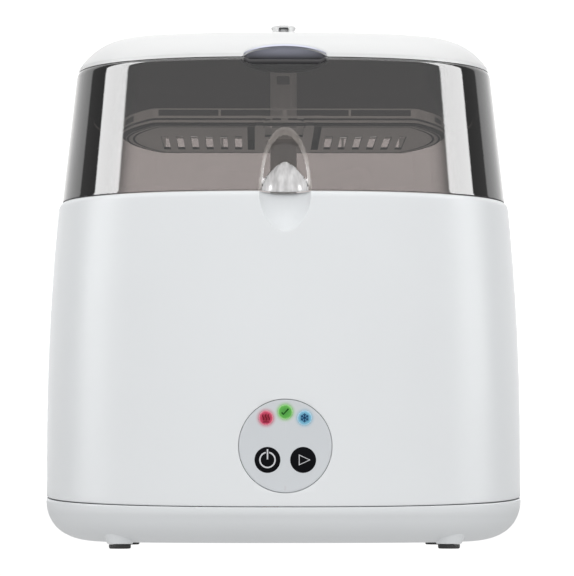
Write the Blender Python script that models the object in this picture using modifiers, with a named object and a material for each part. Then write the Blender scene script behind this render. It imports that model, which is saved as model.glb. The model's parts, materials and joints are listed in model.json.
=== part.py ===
"""Electric bottle sterilizer: a white base with a heated chamber, a hinged smoke lid, rack, tray and panel.

Sizes are in millimetres and are turned into metres when a mesh is made. +Z is up, the front faces -Y, and
the origin is the centre of the footprint on the surface that the feet stand on.
"""

import math

import bmesh
import bpy
from mathutils import Matrix, Vector

MM = 0.001
GAP = 0.3  # clearance between pieces that touch
SEGMENTS = 40  # corners of each large oval section
FULL_TURN = 2 * math.pi
MERGE = 0.00001  # metres within which a turned piece's points on the axis are one
WELD = 0.0001  # the same for an outline's caps, which are made in millimetres

# Base: the widest oval section and how it narrows upward and rolls under.
BASE_HALF_WIDTH = 150.3
WIDTH_LESS_DEPTH = 45.0  # half width less half depth, the same all the way up
OVAL_POWER = 2.5
WIDEST_Z = 70.0
NARROWING = 3.2e-4
BELLY_START_Z = 33.0
BELLY_HEIGHT = 29.5
BELLY_ROLL = 38.0
BELLY_POWER = 2.6
RIM_Z = 217.2
SHOULDER = 4.0
SEAM_Z = 33.0  # height of the seam at mid depth
SEAM_SLOPE = 0.067  # the seam climbs toward the back
SEAM_GAP = 0.8
WALL = 2.5

# Lid: smoke window below, white cap above, the cap's skirt deeper at the back.
LID_FOOT_Z = 217.6
LID_HALF_WIDTH = 141.6
LID_TAPER = 0.108
LID_WALL = 2.2
CAP_EDGE_Z = 301.4
SKIRT_DROP = 26.4
SKIRT_START_Y = 12.0
SKIRT_END_Y = 52.0
CAP_ARC = 43.0
CAP_ARC_START = math.radians(27)
CROWN = 1.0
CROWN_HALF_DEPTH = 25.0

# Finger scoop in the base, finger niche and grip pocket in the lid.
SCOOP = (15.5, 11.0, 25.0)
NICHE = (14.6, 10.5, 38.0)
POCKET = (27.0, 13.0, 8.6)
POCKET_Z = 300.2
CREASE_Z = 299.2

# Control panel on the front.
PANEL_RADIUS = 28.0
PANEL_Z = 62.3
PANEL_Y = -104.9
PANEL_THICK = 2.4
BUTTON_RADIUS = 7.5
BUTTON_X = 10.7
BUTTON_Z = 53.9
BUTTON_TRAVEL = 1.3
LENS_RADIUS = 4.6
LENS_PLACES = {"heat": (-11.6, 79.1), "ready": (0.0, 82.7), "cool": (11.6, 79.1)}
BOARD_Y = -92.0
BOARD_THICK = 1.6

# Chamber, heater, rack and tray.
TUB_TOP_HALF_WIDTH = 134.2
TUB_FLOOR_HALF_WIDTH = 126.0
TUB_FLOOR_Z = 50.0
TUB_WALL = 2.0
PLATE_RADIUS = 62.0
HEATER_RADIUS = 38.0
TUBE_RADIUS = 3.6
POST_RADIUS = 8.5
POST_TOP_Z = 309.0
RACK_Z = 68.0
RACK_THICK = 3.0
RACK_HALF_WIDTH = 118.0
BOTTLE_RADIUS = 26.0
TRAY_Z = 260.3
TRAY_HALF_WIDTH = 104.5
TRAY_HALF_DEPTH = 72.0
TRAY_END_BULGE = 23.0
TRAY_CORNER = 8.0
TRAY_FLOOR = 2.0
TRAY_RIM = 10.7
TRAY_RIM_WALL = 2.4
TRAY_SLOT_WIDTH = 5.0
TRAY_SLOT_REACH = (-19.0, 48.0)  # from front to back
TRAY_SLOT_PITCH = 9.4
TRAY_SLOT_FIRST_X = 29.0
TRAY_SLOTS = 6
TRAY_FRONT_SLOT_X = 9.8
TRAY_FRONT_SLOT_REACH = (-67.0, -16.0)

# Feet and hinge.
FOOT_X = 101.0
FOOT_Y = 63.0
PAD_RADIUS = 6.75
PAD_THICK = 2.5
HINGE_Y = 98.5
HINGE_Z = 209.5
HINGE_X = 40.0
KNUCKLE_RADIUS = 3.6
PIN_RADIUS = 1.5

COLOURS = {
    "white": ((0.86, 0.87, 0.88), 0.18, 0.0),
    "cream": ((0.80, 0.80, 0.79), 0.35, 0.0),
    "smoke": ((0.10, 0.10, 0.11), 0.08, 0.0),
    "panel": ((0.66, 0.68, 0.70), 0.25, 0.0),
    "black": ((0.02, 0.02, 0.02), 0.30, 0.0),
    "rubber": ((0.03, 0.03, 0.03), 0.80, 0.0),
    "steel": ((0.62, 0.62, 0.63), 0.25, 1.0),
    "green": ((0.03, 0.22, 0.08), 0.50, 0.0),
    "lens_red": ((0.70, 0.05, 0.10), 0.20, 0.0),
    "lens_green": ((0.15, 0.60, 0.12), 0.20, 0.0),
    "lens_blue": ((0.10, 0.45, 0.75), 0.20, 0.0),
    "grey": ((0.30, 0.31, 0.32), 0.40, 0.0),
}


# ---------------------------------------------------------------- scene helpers

def clear_scene():
    for obj in list(bpy.data.objects):
        bpy.data.objects.remove(obj, do_unlink=True)


def new_collection(name):
    collection = bpy.data.collections.new(name)
    bpy.context.scene.collection.children.link(collection)
    return collection


def make_material(name):
    colour, roughness, metallic = COLOURS[name]
    material = bpy.data.materials.new(name)
    material.use_nodes = True
    shader = material.node_tree.nodes["Principled BSDF"]
    shader.inputs["Base Color"].default_value = (*colour, 1.0)
    shader.inputs["Roughness"].default_value = roughness
    shader.inputs["Metallic"].default_value = metallic
    return material


def add_object(name, bm, colour=None):
    """A mesh object in metres from a bmesh in millimetres: a part with a colour, a cutter without one."""
    bmesh.ops.recalc_face_normals(bm, faces=bm.faces)
    bmesh.ops.transform(bm, matrix=Matrix.Scale(MM, 4), verts=bm.verts)
    mesh = bpy.data.meshes.new(name)
    bm.to_mesh(mesh)
    bm.free()
    mesh.shade_smooth()
    mesh.set_sharp_from_angle(angle=math.radians(35))
    return link_object(name, mesh, colour)


def link_object(name, mesh, colour):
    obj = bpy.data.objects.new(name, mesh)
    if colour:
        PARTS.objects.link(obj)
        mesh.materials.append(MATERIALS[colour])
    else:
        CUTTERS.objects.link(obj)
        obj.hide_render = True
        obj.display_type = "WIRE"
    return obj


def boolean(obj, cutter, operation="DIFFERENCE"):
    modifier = obj.modifiers.new(operation.lower(), "BOOLEAN")
    modifier.operation = operation
    modifier.object = cutter
    return obj


def cut_all(obj, *cutters):
    for cutter in cutters:
        boolean(obj, cutter)
    return obj


def move_origin(obj, point):
    """Puts an object's origin on its joint's axis without moving its shape."""
    shift = Vector(point) * MM
    obj.data.transform(Matrix.Translation(-shift))
    obj.location = shift
    return obj


# ---------------------------------------------------------------- solids

def oval(half_width, half_depth, power=OVAL_POWER, count=SEGMENTS):
    """Corners of a superellipse, counter-clockwise."""
    points = []
    for step in range(count):
        angle = FULL_TURN * step / count
        c, s = math.cos(angle), math.sin(angle)
        x = math.copysign(abs(c) ** (2 / power), c) * half_width
        y = math.copysign(abs(s) ** (2 / power), s) * half_depth
        points.append((x, y))
    return points


def loft(rings):
    """A closed solid through rings of equal count, with a flat face on each end."""
    bm = bmesh.new()
    layers = [[bm.verts.new(point) for point in ring] for ring in rings]
    count = len(layers[0])
    for lower, upper in zip(layers, layers[1:]):
        for i in range(count):
            j = (i + 1) % count
            bm.faces.new((lower[i], lower[j], upper[j], upper[i]))
    bm.faces.new(list(reversed(layers[0])))
    bm.faces.new(layers[-1])
    return bm


def oval_solid(sections):
    """A loft through (half width, height) sections that keep the product's width-to-depth difference."""
    rings = []
    for half_width, z in sections:
        points = oval(half_width, half_width - WIDTH_LESS_DEPTH)
        rings.append([(x, y, z) for x, y in points])
    return loft(rings)


def cylinder(radius, z0, z1, x=0.0, y=0.0, top_radius=None, sides=16):
    bm = bmesh.new()
    top = radius if top_radius is None else top_radius
    bmesh.ops.create_cone(bm, cap_ends=True, segments=sides, radius1=radius, radius2=top, depth=z1 - z0)
    bmesh.ops.translate(bm, vec=(x, y, (z0 + z1) / 2), verts=bm.verts)
    return bm


def rod_y(radius, y0, y1, x, z, sides=16):
    """A cylinder lying along Y."""
    bm = bmesh.new()
    bmesh.ops.create_cone(bm, cap_ends=True, segments=sides, radius1=radius, radius2=radius, depth=y1 - y0)
    bmesh.ops.rotate(bm, matrix=Matrix.Rotation(math.pi / 2, 3, "X"), verts=bm.verts)
    bmesh.ops.translate(bm, vec=(x, (y0 + y1) / 2, z), verts=bm.verts)
    return bm


def rod_x(radius, x0, x1, y, z, sides=14):
    """A cylinder lying along X."""
    bm = bmesh.new()
    bmesh.ops.create_cone(bm, cap_ends=True, segments=sides, radius1=radius, radius2=radius, depth=x1 - x0)
    bmesh.ops.rotate(bm, matrix=Matrix.Rotation(math.pi / 2, 3, "Y"), verts=bm.verts)
    bmesh.ops.translate(bm, vec=((x0 + x1) / 2, y, z), verts=bm.verts)
    return bm


def block(x0, x1, y0, y1, z0, z1):
    bm = bmesh.new()
    bmesh.ops.create_cube(bm, size=1.0)
    bmesh.ops.scale(bm, vec=(x1 - x0, y1 - y0, z1 - z0), verts=bm.verts)
    bmesh.ops.translate(bm, vec=((x0 + x1) / 2, (y0 + y1) / 2, (z0 + z1) / 2), verts=bm.verts)
    return bm


def ellipsoid(semi_axes, centre, lean=0.0, grow=0.0):
    """A ball stretched to three half sizes, leaned about X."""
    bm = bmesh.new()
    bmesh.ops.create_uvsphere(bm, u_segments=20, v_segments=12, radius=1.0)
    bmesh.ops.scale(bm, vec=[size + grow for size in semi_axes], verts=bm.verts)
    bmesh.ops.rotate(bm, matrix=Matrix.Rotation(lean, 3, "X"), verts=bm.verts)
    bmesh.ops.translate(bm, vec=centre, verts=bm.verts)
    return bm


def turned(name, outline, colour, x=0.0, y=0.0, sides=16):
    """A part turned about Z from a (radius, height) outline that runs up its outer side.

    An outline that starts and ends on the axis makes a solid piece, and any other is closed into a ring.
    """
    points = [(r * MM, 0.0, z * MM) for r, z in reversed(outline)]
    edges = [(i, i + 1) for i in range(len(points) - 1)]
    if outline[0][0] > 0.0:
        edges.append((len(points) - 1, 0))
    mesh = bpy.data.meshes.new(name)
    mesh.from_pydata(points, edges, [])
    obj = link_object(name, mesh, colour)
    obj.location = (x * MM, y * MM, 0.0)
    screw = obj.modifiers.new("turn", "SCREW")
    screw.steps = sides
    screw.render_steps = sides
    screw.use_merge_vertices = True
    screw.merge_threshold = MERGE
    return obj


def plate_z(outline, z0, z1):
    """An (x, y) outline given thickness from z0 to z1."""
    curve = bpy.data.curves.new("outline", "CURVE")
    curve.dimensions = "2D"
    curve.fill_mode = "BOTH"
    curve.extrude = (z1 - z0) / 2
    spline = curve.splines.new("POLY")
    spline.points.add(len(outline) - 1)
    spline.use_cyclic_u = True
    for point, (x, y) in zip(spline.points, outline):
        point.co = (x, y, 0.0, 1.0)
    drawn = bpy.data.objects.new("outline", curve)
    CUTTERS.objects.link(drawn)
    graph = bpy.context.evaluated_depsgraph_get()
    mesh = bpy.data.meshes.new_from_object(drawn.evaluated_get(graph))
    bm = bmesh.new()
    bm.from_mesh(mesh)
    bmesh.ops.remove_doubles(bm, verts=bm.verts, dist=WELD)
    bmesh.ops.translate(bm, vec=(0, 0, (z0 + z1) / 2), verts=bm.verts)
    bpy.data.objects.remove(drawn, do_unlink=True)
    return bm


def prism_x(outline, half_length):
    """A (y, z) outline given thickness along X."""
    bm = plate_z(outline, -half_length, half_length)
    to_side = Matrix(((0, 0, 1), (1, 0, 0), (0, 1, 0)))
    bmesh.ops.rotate(bm, matrix=to_side, verts=bm.verts)
    return bm


# ---------------------------------------------------------------- outer form

def base_half_width(z):
    """Half width of the base's outer skin at a height."""
    upper = BASE_HALF_WIDTH - NARROWING * max(z - WIDEST_Z, 0.0) ** 2
    under = min(max((BELLY_START_Z - z) / BELLY_HEIGHT, 0.0), 1.0)
    return upper - BELLY_ROLL * (1 - (1 - under ** BELLY_POWER) ** (1 / BELLY_POWER))


def lid_half_width(z):
    return LID_HALF_WIDTH - LID_TAPER * (z - LID_FOOT_Z)


def base_sections(inset, low, high, steps):
    return [(base_half_width(z) - inset, z) for z in
            [low + (high - low) * step / steps for step in range(steps + 1)]]


def belly_sections(inset, top, steps):
    """The rolled underside, with closer sections where it turns under."""
    bottom = BELLY_START_Z - BELLY_HEIGHT
    sections = []
    for step in range(steps + 1):
        height = bottom + BELLY_HEIGHT * (1 - math.cos(math.pi / 2 * step / steps))
        z = max(height, bottom + inset)
        if step and z <= sections[-1][1]:
            continue
        sections.append((base_half_width(height) - inset, z))
    sections.append((base_half_width(top) - inset, top))
    return sections


def below_seam(offset):
    """A block that holds everything lower than the sloping seam."""
    reach = 200.0
    low = -50.0
    outline = [
        (-reach, SEAM_Z - SEAM_SLOPE * reach + offset),
        (-reach, low),
        (reach, low),
        (reach, SEAM_Z + SEAM_SLOPE * reach + offset),
    ]
    return prism_x(outline, reach)


def above_seam(offset):
    """A block that holds everything higher than the sloping seam."""
    reach = 200.0
    high = 400.0
    outline = [
        (-reach, high),
        (-reach, SEAM_Z - SEAM_SLOPE * reach + offset),
        (reach, SEAM_Z + SEAM_SLOPE * reach + offset),
        (reach, high),
    ]
    return prism_x(outline, reach)


def cap_edge_line(offset):
    """The cap's lower edge in side view: level over the front half, then down to the deeper rear skirt."""
    reach = 200.0
    steps = 10
    line = [(-reach, CAP_EDGE_Z + offset)]
    for step in range(steps + 1):
        part = step / steps
        drop = SKIRT_DROP * part * part * (3 - 2 * part)
        y = SKIRT_START_Y + (SKIRT_END_Y - SKIRT_START_Y) * part
        line.append((y, CAP_EDGE_Z - drop + offset))
    line.append((reach, CAP_EDGE_Z - SKIRT_DROP + offset))
    return line


def above_cap_edge(offset):
    return prism_x(cap_edge_line(offset) + [(200.0, 500.0), (-200.0, 500.0)], 200.0)


def below_cap_edge(offset):
    return prism_x(cap_edge_line(offset) + [(200.0, 150.0), (-200.0, 150.0)], 200.0)


def dome_rings(inset, low_z):
    """Sections of the lid from low_z up over the cap's rounded edge to its crown."""
    rings = []
    for z in (low_z, CAP_EDGE_Z):
        half = lid_half_width(z) - inset
        rings.append([(x, y, z) for x, y in oval(half, half - WIDTH_LESS_DEPTH)])
    edge = lid_half_width(CAP_EDGE_Z)
    steps = 6
    start = math.sin(CAP_ARC_START)
    span = math.cos(CAP_ARC_START)
    for step in range(1, steps + 1):
        angle = CAP_ARC_START + (math.pi / 2 - CAP_ARC_START) * step / steps
        inward = CAP_ARC * (span - math.cos(angle))
        z = CAP_EDGE_Z + CAP_ARC * (math.sin(angle) - start)
        part = inward / (CAP_ARC * span)
        half_depth = (edge - WIDTH_LESS_DEPTH) * (1 - part) + CROWN_HALF_DEPTH * part
        half = edge - inward
        shrink = inset * math.cos(angle)
        sink = inset * math.sin(angle)
        rings.append([(x, y, z - sink) for x, y in oval(half - shrink, half_depth - shrink)])
    top = rings[-1]
    for scale in (0.6, 0.2):
        lift = CROWN * (1 - scale * scale)
        rings.append([(x * scale, y * scale, z + lift) for x, y, z in top])
    return rings


def rear_cut(x, y):
    """A pocket in the housing's rear shoulder that a hinge sits in."""
    return block(x - 13.5, x + 13.5, y - 7.5, y + 20, HINGE_Z - 6.5, HINGE_Z + 20)


def scoop(grow):
    return ellipsoid(SCOOP, (0, 5 - (base_half_width(RIM_Z) - WIDTH_LESS_DEPTH), RIM_Z), grow=grow)


# ---------------------------------------------------------------- base

def base_housing():
    outer = [(base_half_width(z), z) for z in (22.0, BELLY_START_Z)]
    outer += base_sections(0, 60.0, RIM_Z - SHOULDER, 4)
    turn = 3
    for step in range(1, turn + 1):
        angle = math.pi / 2 * step / turn
        inset = SHOULDER * 0.6 * (1 - math.cos(angle))
        z = RIM_Z - SHOULDER + SHOULDER * math.sin(angle)
        outer.append((base_half_width(z) - inset, z))
    housing = add_object("base_housing", oval_solid(outer), "white")
    inner = base_sections(WALL, 20.0, RIM_Z - SHOULDER - 0.4, 4)
    inner.append((base_half_width(RIM_Z) - WALL - 1.5, RIM_Z - WALL))
    hollow = add_object("housing_hollow", oval_solid(inner))
    boolean(hollow, add_object("scoop_wall", scoop(WALL)))
    mouth = TUB_TOP_HALF_WIDTH + 2 * GAP + 2.0
    opening = oval_solid([(mouth, RIM_Z - 20), (mouth, RIM_Z + 5)])
    mouth_cut = add_object("housing_mouth", opening)
    boolean(mouth_cut, bpy.data.objects["scoop_wall"])
    panel_hole = add_object("panel_hole", rod_y(PANEL_RADIUS + GAP, -130, -90, 0, PANEL_Z, sides=36))
    cut_all(housing, hollow, mouth_cut, add_object("scoop_cut", scoop(0.0)), panel_hole)
    cut_all(housing, add_object("housing_trim", below_seam(0.0)))
    for side in (-1, 1):
        cut_all(housing, add_object("hinge_pocket", rear_cut(side * HINGE_X, HINGE_Y)))
    cut_all(housing, add_object("gland_hole", rod_y(5.3, 90, 130, GLAND_X, GLAND_Z)))
    return housing


def foot_boss(x, y):
    return cylinder(7.4, PAD_THICK + GAP, 17.0, x, y, top_radius=10.4, sides=18)


def base_pan():
    """The sloping-edged pan that closes the base from below, with four hollow foot bosses."""
    top = 60.0
    pan = add_object("base_pan", oval_solid(belly_sections(0.0, top, 6)), "white")
    for x, y in FEET.values():
        boolean(pan, add_object("boss", foot_boss(x, y)), "UNION")
    boolean(pan, add_object("pan_hollow", oval_solid(belly_sections(WALL, top + 2, 3))))
    cut_all(pan, add_object("pan_trim", above_seam(-SEAM_GAP)))
    for x, y in FEET.values():
        cut_all(pan, add_object("stem_hole", cylinder(3.2, -5, 14.0, x, y, sides=16)))
    for x, y in SCREWS.values():
        boolean(pan, add_object("screw_post", cylinder(4.5, 4.0, 24.0, x, y, sides=20)), "UNION")
        cut_all(pan, add_object("screw_head_bore", cylinder(3.4, -5, 8.0, x, y, sides=16)))
        cut_all(pan, add_object("screw_bore", cylinder(1.9, -5, 30.0, x, y, sides=16)))
    return pan


def foot_pads():
    for name, (x, y) in FEET.items():
        turned("foot_pad_" + name, [
            (0.0, 0.0), (PAD_RADIUS - 0.5, 0.0), (PAD_RADIUS, 0.6), (PAD_RADIUS, PAD_THICK),
            (2.9, PAD_THICK), (2.9, 12.0), (0.0, 12.0),
        ], "rubber", x, y)


def chamber_tub():
    """The water and steam chamber: a deep liner that hangs from a flange under the housing's rim."""
    flange_z = RIM_Z - WALL - GAP
    lip = TUB_TOP_HALF_WIDTH + 1.8
    sections = [
        (TUB_FLOOR_HALF_WIDTH - 4, TUB_FLOOR_Z), (TUB_FLOOR_HALF_WIDTH, TUB_FLOOR_Z + 5),
        (TUB_TOP_HALF_WIDTH, flange_z - 2.2), (lip + 1.6, flange_z - 2.0), (lip + 1.6, flange_z),
        (lip, flange_z + 0.1), (lip, RIM_Z - 0.2),
    ]
    tub = add_object("chamber_tub", oval_solid(sections), "cream")
    inside = [
        (TUB_FLOOR_HALF_WIDTH - 4 - TUB_WALL, TUB_FLOOR_Z + TUB_WALL),
        (TUB_FLOOR_HALF_WIDTH - TUB_WALL, TUB_FLOOR_Z + 6),
        (TUB_TOP_HALF_WIDTH - TUB_WALL, RIM_Z - 4),
        (TUB_TOP_HALF_WIDTH - TUB_WALL, RIM_Z + 5),
    ]
    hollow = add_object("tub_hollow", oval_solid(inside))
    boolean(hollow, add_object("tub_scoop_wall", scoop(WALL + GAP + TUB_WALL)))
    cut_all(tub, hollow, add_object("tub_scoop_cut", scoop(WALL + GAP)))
    plate_hole = cylinder(PLATE_RADIUS - 5, TUB_FLOOR_Z - 5, TUB_FLOOR_Z + 5, sides=28)
    cut_all(tub, add_object("plate_hole", plate_hole))
    for side in (-1, 1):
        relief = block(side * HINGE_X - 14, side * HINGE_X + 14, 91.1, 120, HINGE_Z - 8, HINGE_Z + 20)
        cut_all(tub, add_object("tub_hinge_relief", relief))
    return tub


def heater():
    top = TUB_FLOOR_Z + TUB_WALL
    seat = top + 1.2
    turned("plate_gasket", [
        (PLATE_RADIUS - 4.6, top + GAP / 2), (PLATE_RADIUS - 0.6, top + GAP / 2),
        (PLATE_RADIUS - 0.6, seat - GAP / 2), (PLATE_RADIUS - 4.6, seat - GAP / 2),
    ], "rubber", sides=28)
    turned("heating_plate", [
        (0.0, seat - 1.0), (PLATE_RADIUS - 7.5, seat - 1.0), (PLATE_RADIUS - 6.0, seat + 0.15),
        (PLATE_RADIUS, seat + 0.15), (PLATE_RADIUS, seat + 1.6), (PLATE_RADIUS - 6.5, seat + 1.6),
        (PLATE_RADIUS - 8.5, seat + 0.5), (0.0, seat + 0.5),
    ], "steel", sides=28)
    tube_z = seat - 5.6
    corners = [FULL_TURN * i / 8 for i in range(8)]
    turned("heater_ring", [
        (HEATER_RADIUS + TUBE_RADIUS * math.cos(a), tube_z + TUBE_RADIUS * math.sin(a)) for a in corners
    ], "steel", sides=24)
    bridge = add_object("heater_bracket", block(-54, 54, -7, 7, tube_z - 6.2, tube_z - 4.2), "steel")
    boolean(bridge, add_object("bracket_middle", cylinder(12, tube_z - 6.2, tube_z - 4.2, sides=20)), "UNION")
    turned("thermostat", [
        (0.0, tube_z - 3.8), (9.0, tube_z - 3.8), (9.0, seat - 3.4), (6.0, seat - 1.4), (0.0, seat - 1.4),
    ], "black")
    add_object("thermal_fuse", rod_x(2.2, -9, 9, 16, seat - 3.8, sides=16), "steel")
    for name, side in (("live", -1), ("neutral", 1)):
        x = side * HEATER_RADIUS
        add_object("heater_tag_" + name, block(x - 3, x + 3, -14, -8.5, tube_z - 5.2, tube_z - 4.2), "steel")


# ---------------------------------------------------------------- control panel

def control_panel():
    back = PANEL_Y + PANEL_THICK
    panel = add_object("control_panel", rod_y(PANEL_RADIUS, PANEL_Y, back, 0, PANEL_Z, sides=36), "panel")
    for side in (-1, 1):
        hole = rod_y(BUTTON_RADIUS + GAP, PANEL_Y - 5, back + 5, side * BUTTON_X, BUTTON_Z, sides=20)
        cut_all(panel, add_object("button_hole", hole))
    for x, z in LENS_PLACES.values():
        hole = rod_y(LENS_RADIUS + GAP, PANEL_Y - 5, back + 5, x, z, sides=18)
        cut_all(panel, add_object("lens_hole", hole))
    return panel


def push_button(name, x, colour):
    """A round cap with a hidden flange that keeps it in the panel, and a stem that reaches its switch."""
    face = PANEL_Y - 0.2
    button = add_object(name, rod_y(BUTTON_RADIUS, face, face + 3.4, x, BUTTON_Z, sides=20), colour)
    flange_y = PANEL_Y + PANEL_THICK + GAP
    disc = rod_y(BUTTON_RADIUS + 1.6, flange_y, flange_y + 1.2, x, BUTTON_Z, sides=20)
    flange = add_object(name + "_flange", disc)
    stem_end = SWITCH_TOP_Y - GAP - BUTTON_TRAVEL
    stem = add_object(name + "_stem", rod_y(1.8, face + 2, stem_end, x, BUTTON_Z, sides=12))
    boolean(button, flange, "UNION")
    boolean(button, stem, "UNION")
    return move_origin(button, (x, PANEL_Y, BUTTON_Z))


def indicator(name, x, z):
    add_object(name + "_lens", rod_y(LENS_RADIUS, PANEL_Y - 0.1, PANEL_Y + PANEL_THICK + 1, x, z, sides=18),
               {"heat": "lens_red", "ready": "lens_green", "cool": "lens_blue"}[name])
    chip = block(x - 1.7, x + 1.7, BOARD_Y - GAP - 1.6, BOARD_Y - GAP, z - 1.7, z + 1.7)
    add_object(name + "_led", chip, "cream")


def tact_switch(name, x):
    case = block(x - 3, x + 3, SWITCH_TOP_Y + 1.2, BOARD_Y - GAP, BUTTON_Z - 3, BUTTON_Z + 3)
    tip = rod_y(1.7, SWITCH_TOP_Y, SWITCH_TOP_Y + 2, x, BUTTON_Z, sides=12)
    boolean(add_object(name, case, "black"), add_object(name + "_tip", tip), "UNION")


def control_board():
    """The circuit board and the frame that holds it behind the panel."""
    board = add_object("control_board", block(-27, 27, BOARD_Y, BOARD_Y + BOARD_THICK, 41, 90), "green")
    for x, z in BOARD_SCREWS.values():
        cut_all(board, add_object("board_hole", rod_y(1.8, BOARD_Y - 3, BOARD_Y + 5, x, z, sides=12)))
    frame_y = BOARD_Y + BOARD_THICK + GAP
    frame = add_object("board_frame", block(-30, 30, frame_y, frame_y + 3.0, 38, 93), "cream")
    cut_all(frame, add_object("board_frame_window", block(-15, 15, frame_y - 5, frame_y + 9, 50, 80)))
    for name, (x, z) in BOARD_SCREWS.items():
        cut_all(frame, add_object("frame_hole", rod_y(1.5, frame_y - 5, frame_y + 2.4, x, z, sides=12)))
        head = rod_y(2.7, BOARD_Y - 2.0, BOARD_Y - GAP, x, z, sides=16)
        screw = add_object("board_screw_" + name, head, "steel")
        shank = rod_y(1.2, BOARD_Y - 1.0, frame_y + 2.0, x, z, sides=12)
        boolean(screw, add_object("board_screw_shank", shank), "UNION")
    add_object("relay", block(-9, 9, frame_y, frame_y + 6.0, 58, 74), "black")
    add_object("buzzer", rod_y(5.5, frame_y + 3.0 + GAP, frame_y + 6.0, 19.0, 85.0, sides=16), "black")


def wiring():
    """The terminal block, the mains gland in the rear wall and the two short leads to the heater."""
    add_object("terminal_block", block(GLAND_X - 11, GLAND_X + 11, 62, 74, 8.3, 20), "black")
    gland = add_object("cord_gland", rod_y(5.0, GLAND_Y - 14, GLAND_Y, GLAND_X, GLAND_Z, sides=20), "black")
    flange = rod_y(8.0, GLAND_Y - 12.0, GLAND_Y - 9.6, GLAND_X, GLAND_Z, sides=20)
    boolean(gland, add_object("gland_flange", flange), "UNION")
    cut_all(gland, add_object("gland_bore", rod_y(3.2, GLAND_Y - 30, GLAND_Y + 10, GLAND_X, GLAND_Z, sides=16)))
    for name, side in (("live", -1), ("neutral", 1)):
        lead(name, side)


def lead(name, side):
    """A stiff insulated lead from the terminal block up to the heater ring's end."""
    start = Vector((GLAND_X + side * 6, 59.6, 14.0))
    end = Vector((side * HEATER_RADIUS, 17.0, 37.4))
    curve = bpy.data.curves.new("heater_lead_" + name, "CURVE")
    curve.dimensions = "3D"
    curve.bevel_depth = 1.4 * MM
    curve.bevel_resolution = 2
    curve.use_fill_caps = True
    spline = curve.splines.new("POLY")
    points = 12
    spline.points.add(points - 1)
    for index in range(points):
        part = index / (points - 1)
        middle = start.lerp(end, part)
        sag = 10.0 * math.sin(math.pi * part) * (1 - part)
        spline.points[index].co = (middle.x * MM, middle.y * MM, (middle.z - 0.45 * sag) * MM, 1.0)
    obj = bpy.data.objects.new("heater_lead_" + name, curve)
    curve.materials.append(MATERIALS["grey"])
    PARTS.objects.link(obj)


def base_screws():
    for name, (x, y) in SCREWS.items():
        turned("base_screw_" + name, [
            (0.0, 4.6), (3.0, 4.6), (3.0, 7.4), (1.5, 7.6), (1.5, 22.0), (0.0, 22.0),
        ], "steel", x, y)


# ---------------------------------------------------------------- rack and tray

def lower_rack():
    """The bottle rack: a plate with six round bays on four legs, and a socket for the post."""
    top = RACK_Z + RACK_THICK
    outline = oval(RACK_HALF_WIDTH, RACK_HALF_WIDTH - WIDTH_LESS_DEPTH)
    rack = add_object("lower_rack", plate_z(outline, RACK_Z, top), "cream")
    for x in (-66, 0, 66):
        for y in (-38, 38):
            shift = 3 if x == 0 else 0
            hole = cylinder(BOTTLE_RADIUS, RACK_Z - 5, top + 5, x, y + math.copysign(shift, y), sides=20)
            cut_all(rack, add_object("bottle_bay", hole))
    legs = [(x, y) for x in (-97, 97) for y in (-30, 30)]
    for x, y in legs:
        foot_z = TUB_FLOOR_Z + TUB_WALL + GAP
        boolean(rack, add_object("rack_leg", cylinder(4, foot_z, RACK_Z + 1, x, y, sides=16)), "UNION")
    boolean(rack, add_object("post_socket", cylinder(13.0, RACK_Z, RACK_Z + 14, sides=20)), "UNION")
    cut_all(rack, add_object("post_socket_bore", cylinder(POST_RADIUS + GAP, RACK_Z - 5, RACK_Z + 30, sides=20)))
    return rack


def rack_post():
    """The upright post with a shoulder that carries the tray and a finger slot at its top."""
    post = turned("rack_post", [
        (0.0, RACK_Z), (POST_RADIUS, RACK_Z), (POST_RADIUS, TRAY_Z - 4.0), (11.5, TRAY_Z - 3.0),
        (11.5, TRAY_Z - GAP), (POST_RADIUS, TRAY_Z - GAP), (POST_RADIUS, POST_TOP_Z - 2),
        (POST_RADIUS - 2, POST_TOP_Z), (0.0, POST_TOP_Z),
    ], "cream", sides=20)
    return cut_all(post, add_object("post_slot", block(-5.4, 1.9, -20, 20, 296.3, 304.6)))


def tray_outline(inset):
    """The tray's plan: straight front and back, bulging ends and rounded corners."""
    half_width = TRAY_HALF_WIDTH - inset
    half_depth = TRAY_HALF_DEPTH - inset
    radius = TRAY_CORNER - inset
    points = []
    end_steps = 6
    for step in range(-end_steps, end_steps + 1):
        part = step / end_steps
        y = part * (half_depth - radius)
        points.append((half_width - TRAY_END_BULGE * part * part, y))
    corner_x = half_width - TRAY_END_BULGE - radius
    for step in range(1, 5):
        angle = math.pi / 2 * step / 4
        points.append((corner_x + radius * math.cos(angle), half_depth - radius + radius * math.sin(angle)))
    back_right = points[end_steps * 2 + 1:]
    back_left = [(-x, y) for x, y in reversed(back_right)]
    left_end = [(-x, y) for x, y in reversed(points[:end_steps * 2 + 1])]
    front_left = [(-x, -y) for x, y in back_right]
    front_right = [(x, -y) for x, y in reversed(back_right)]
    return points + back_left + left_end + front_left + front_right


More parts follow.
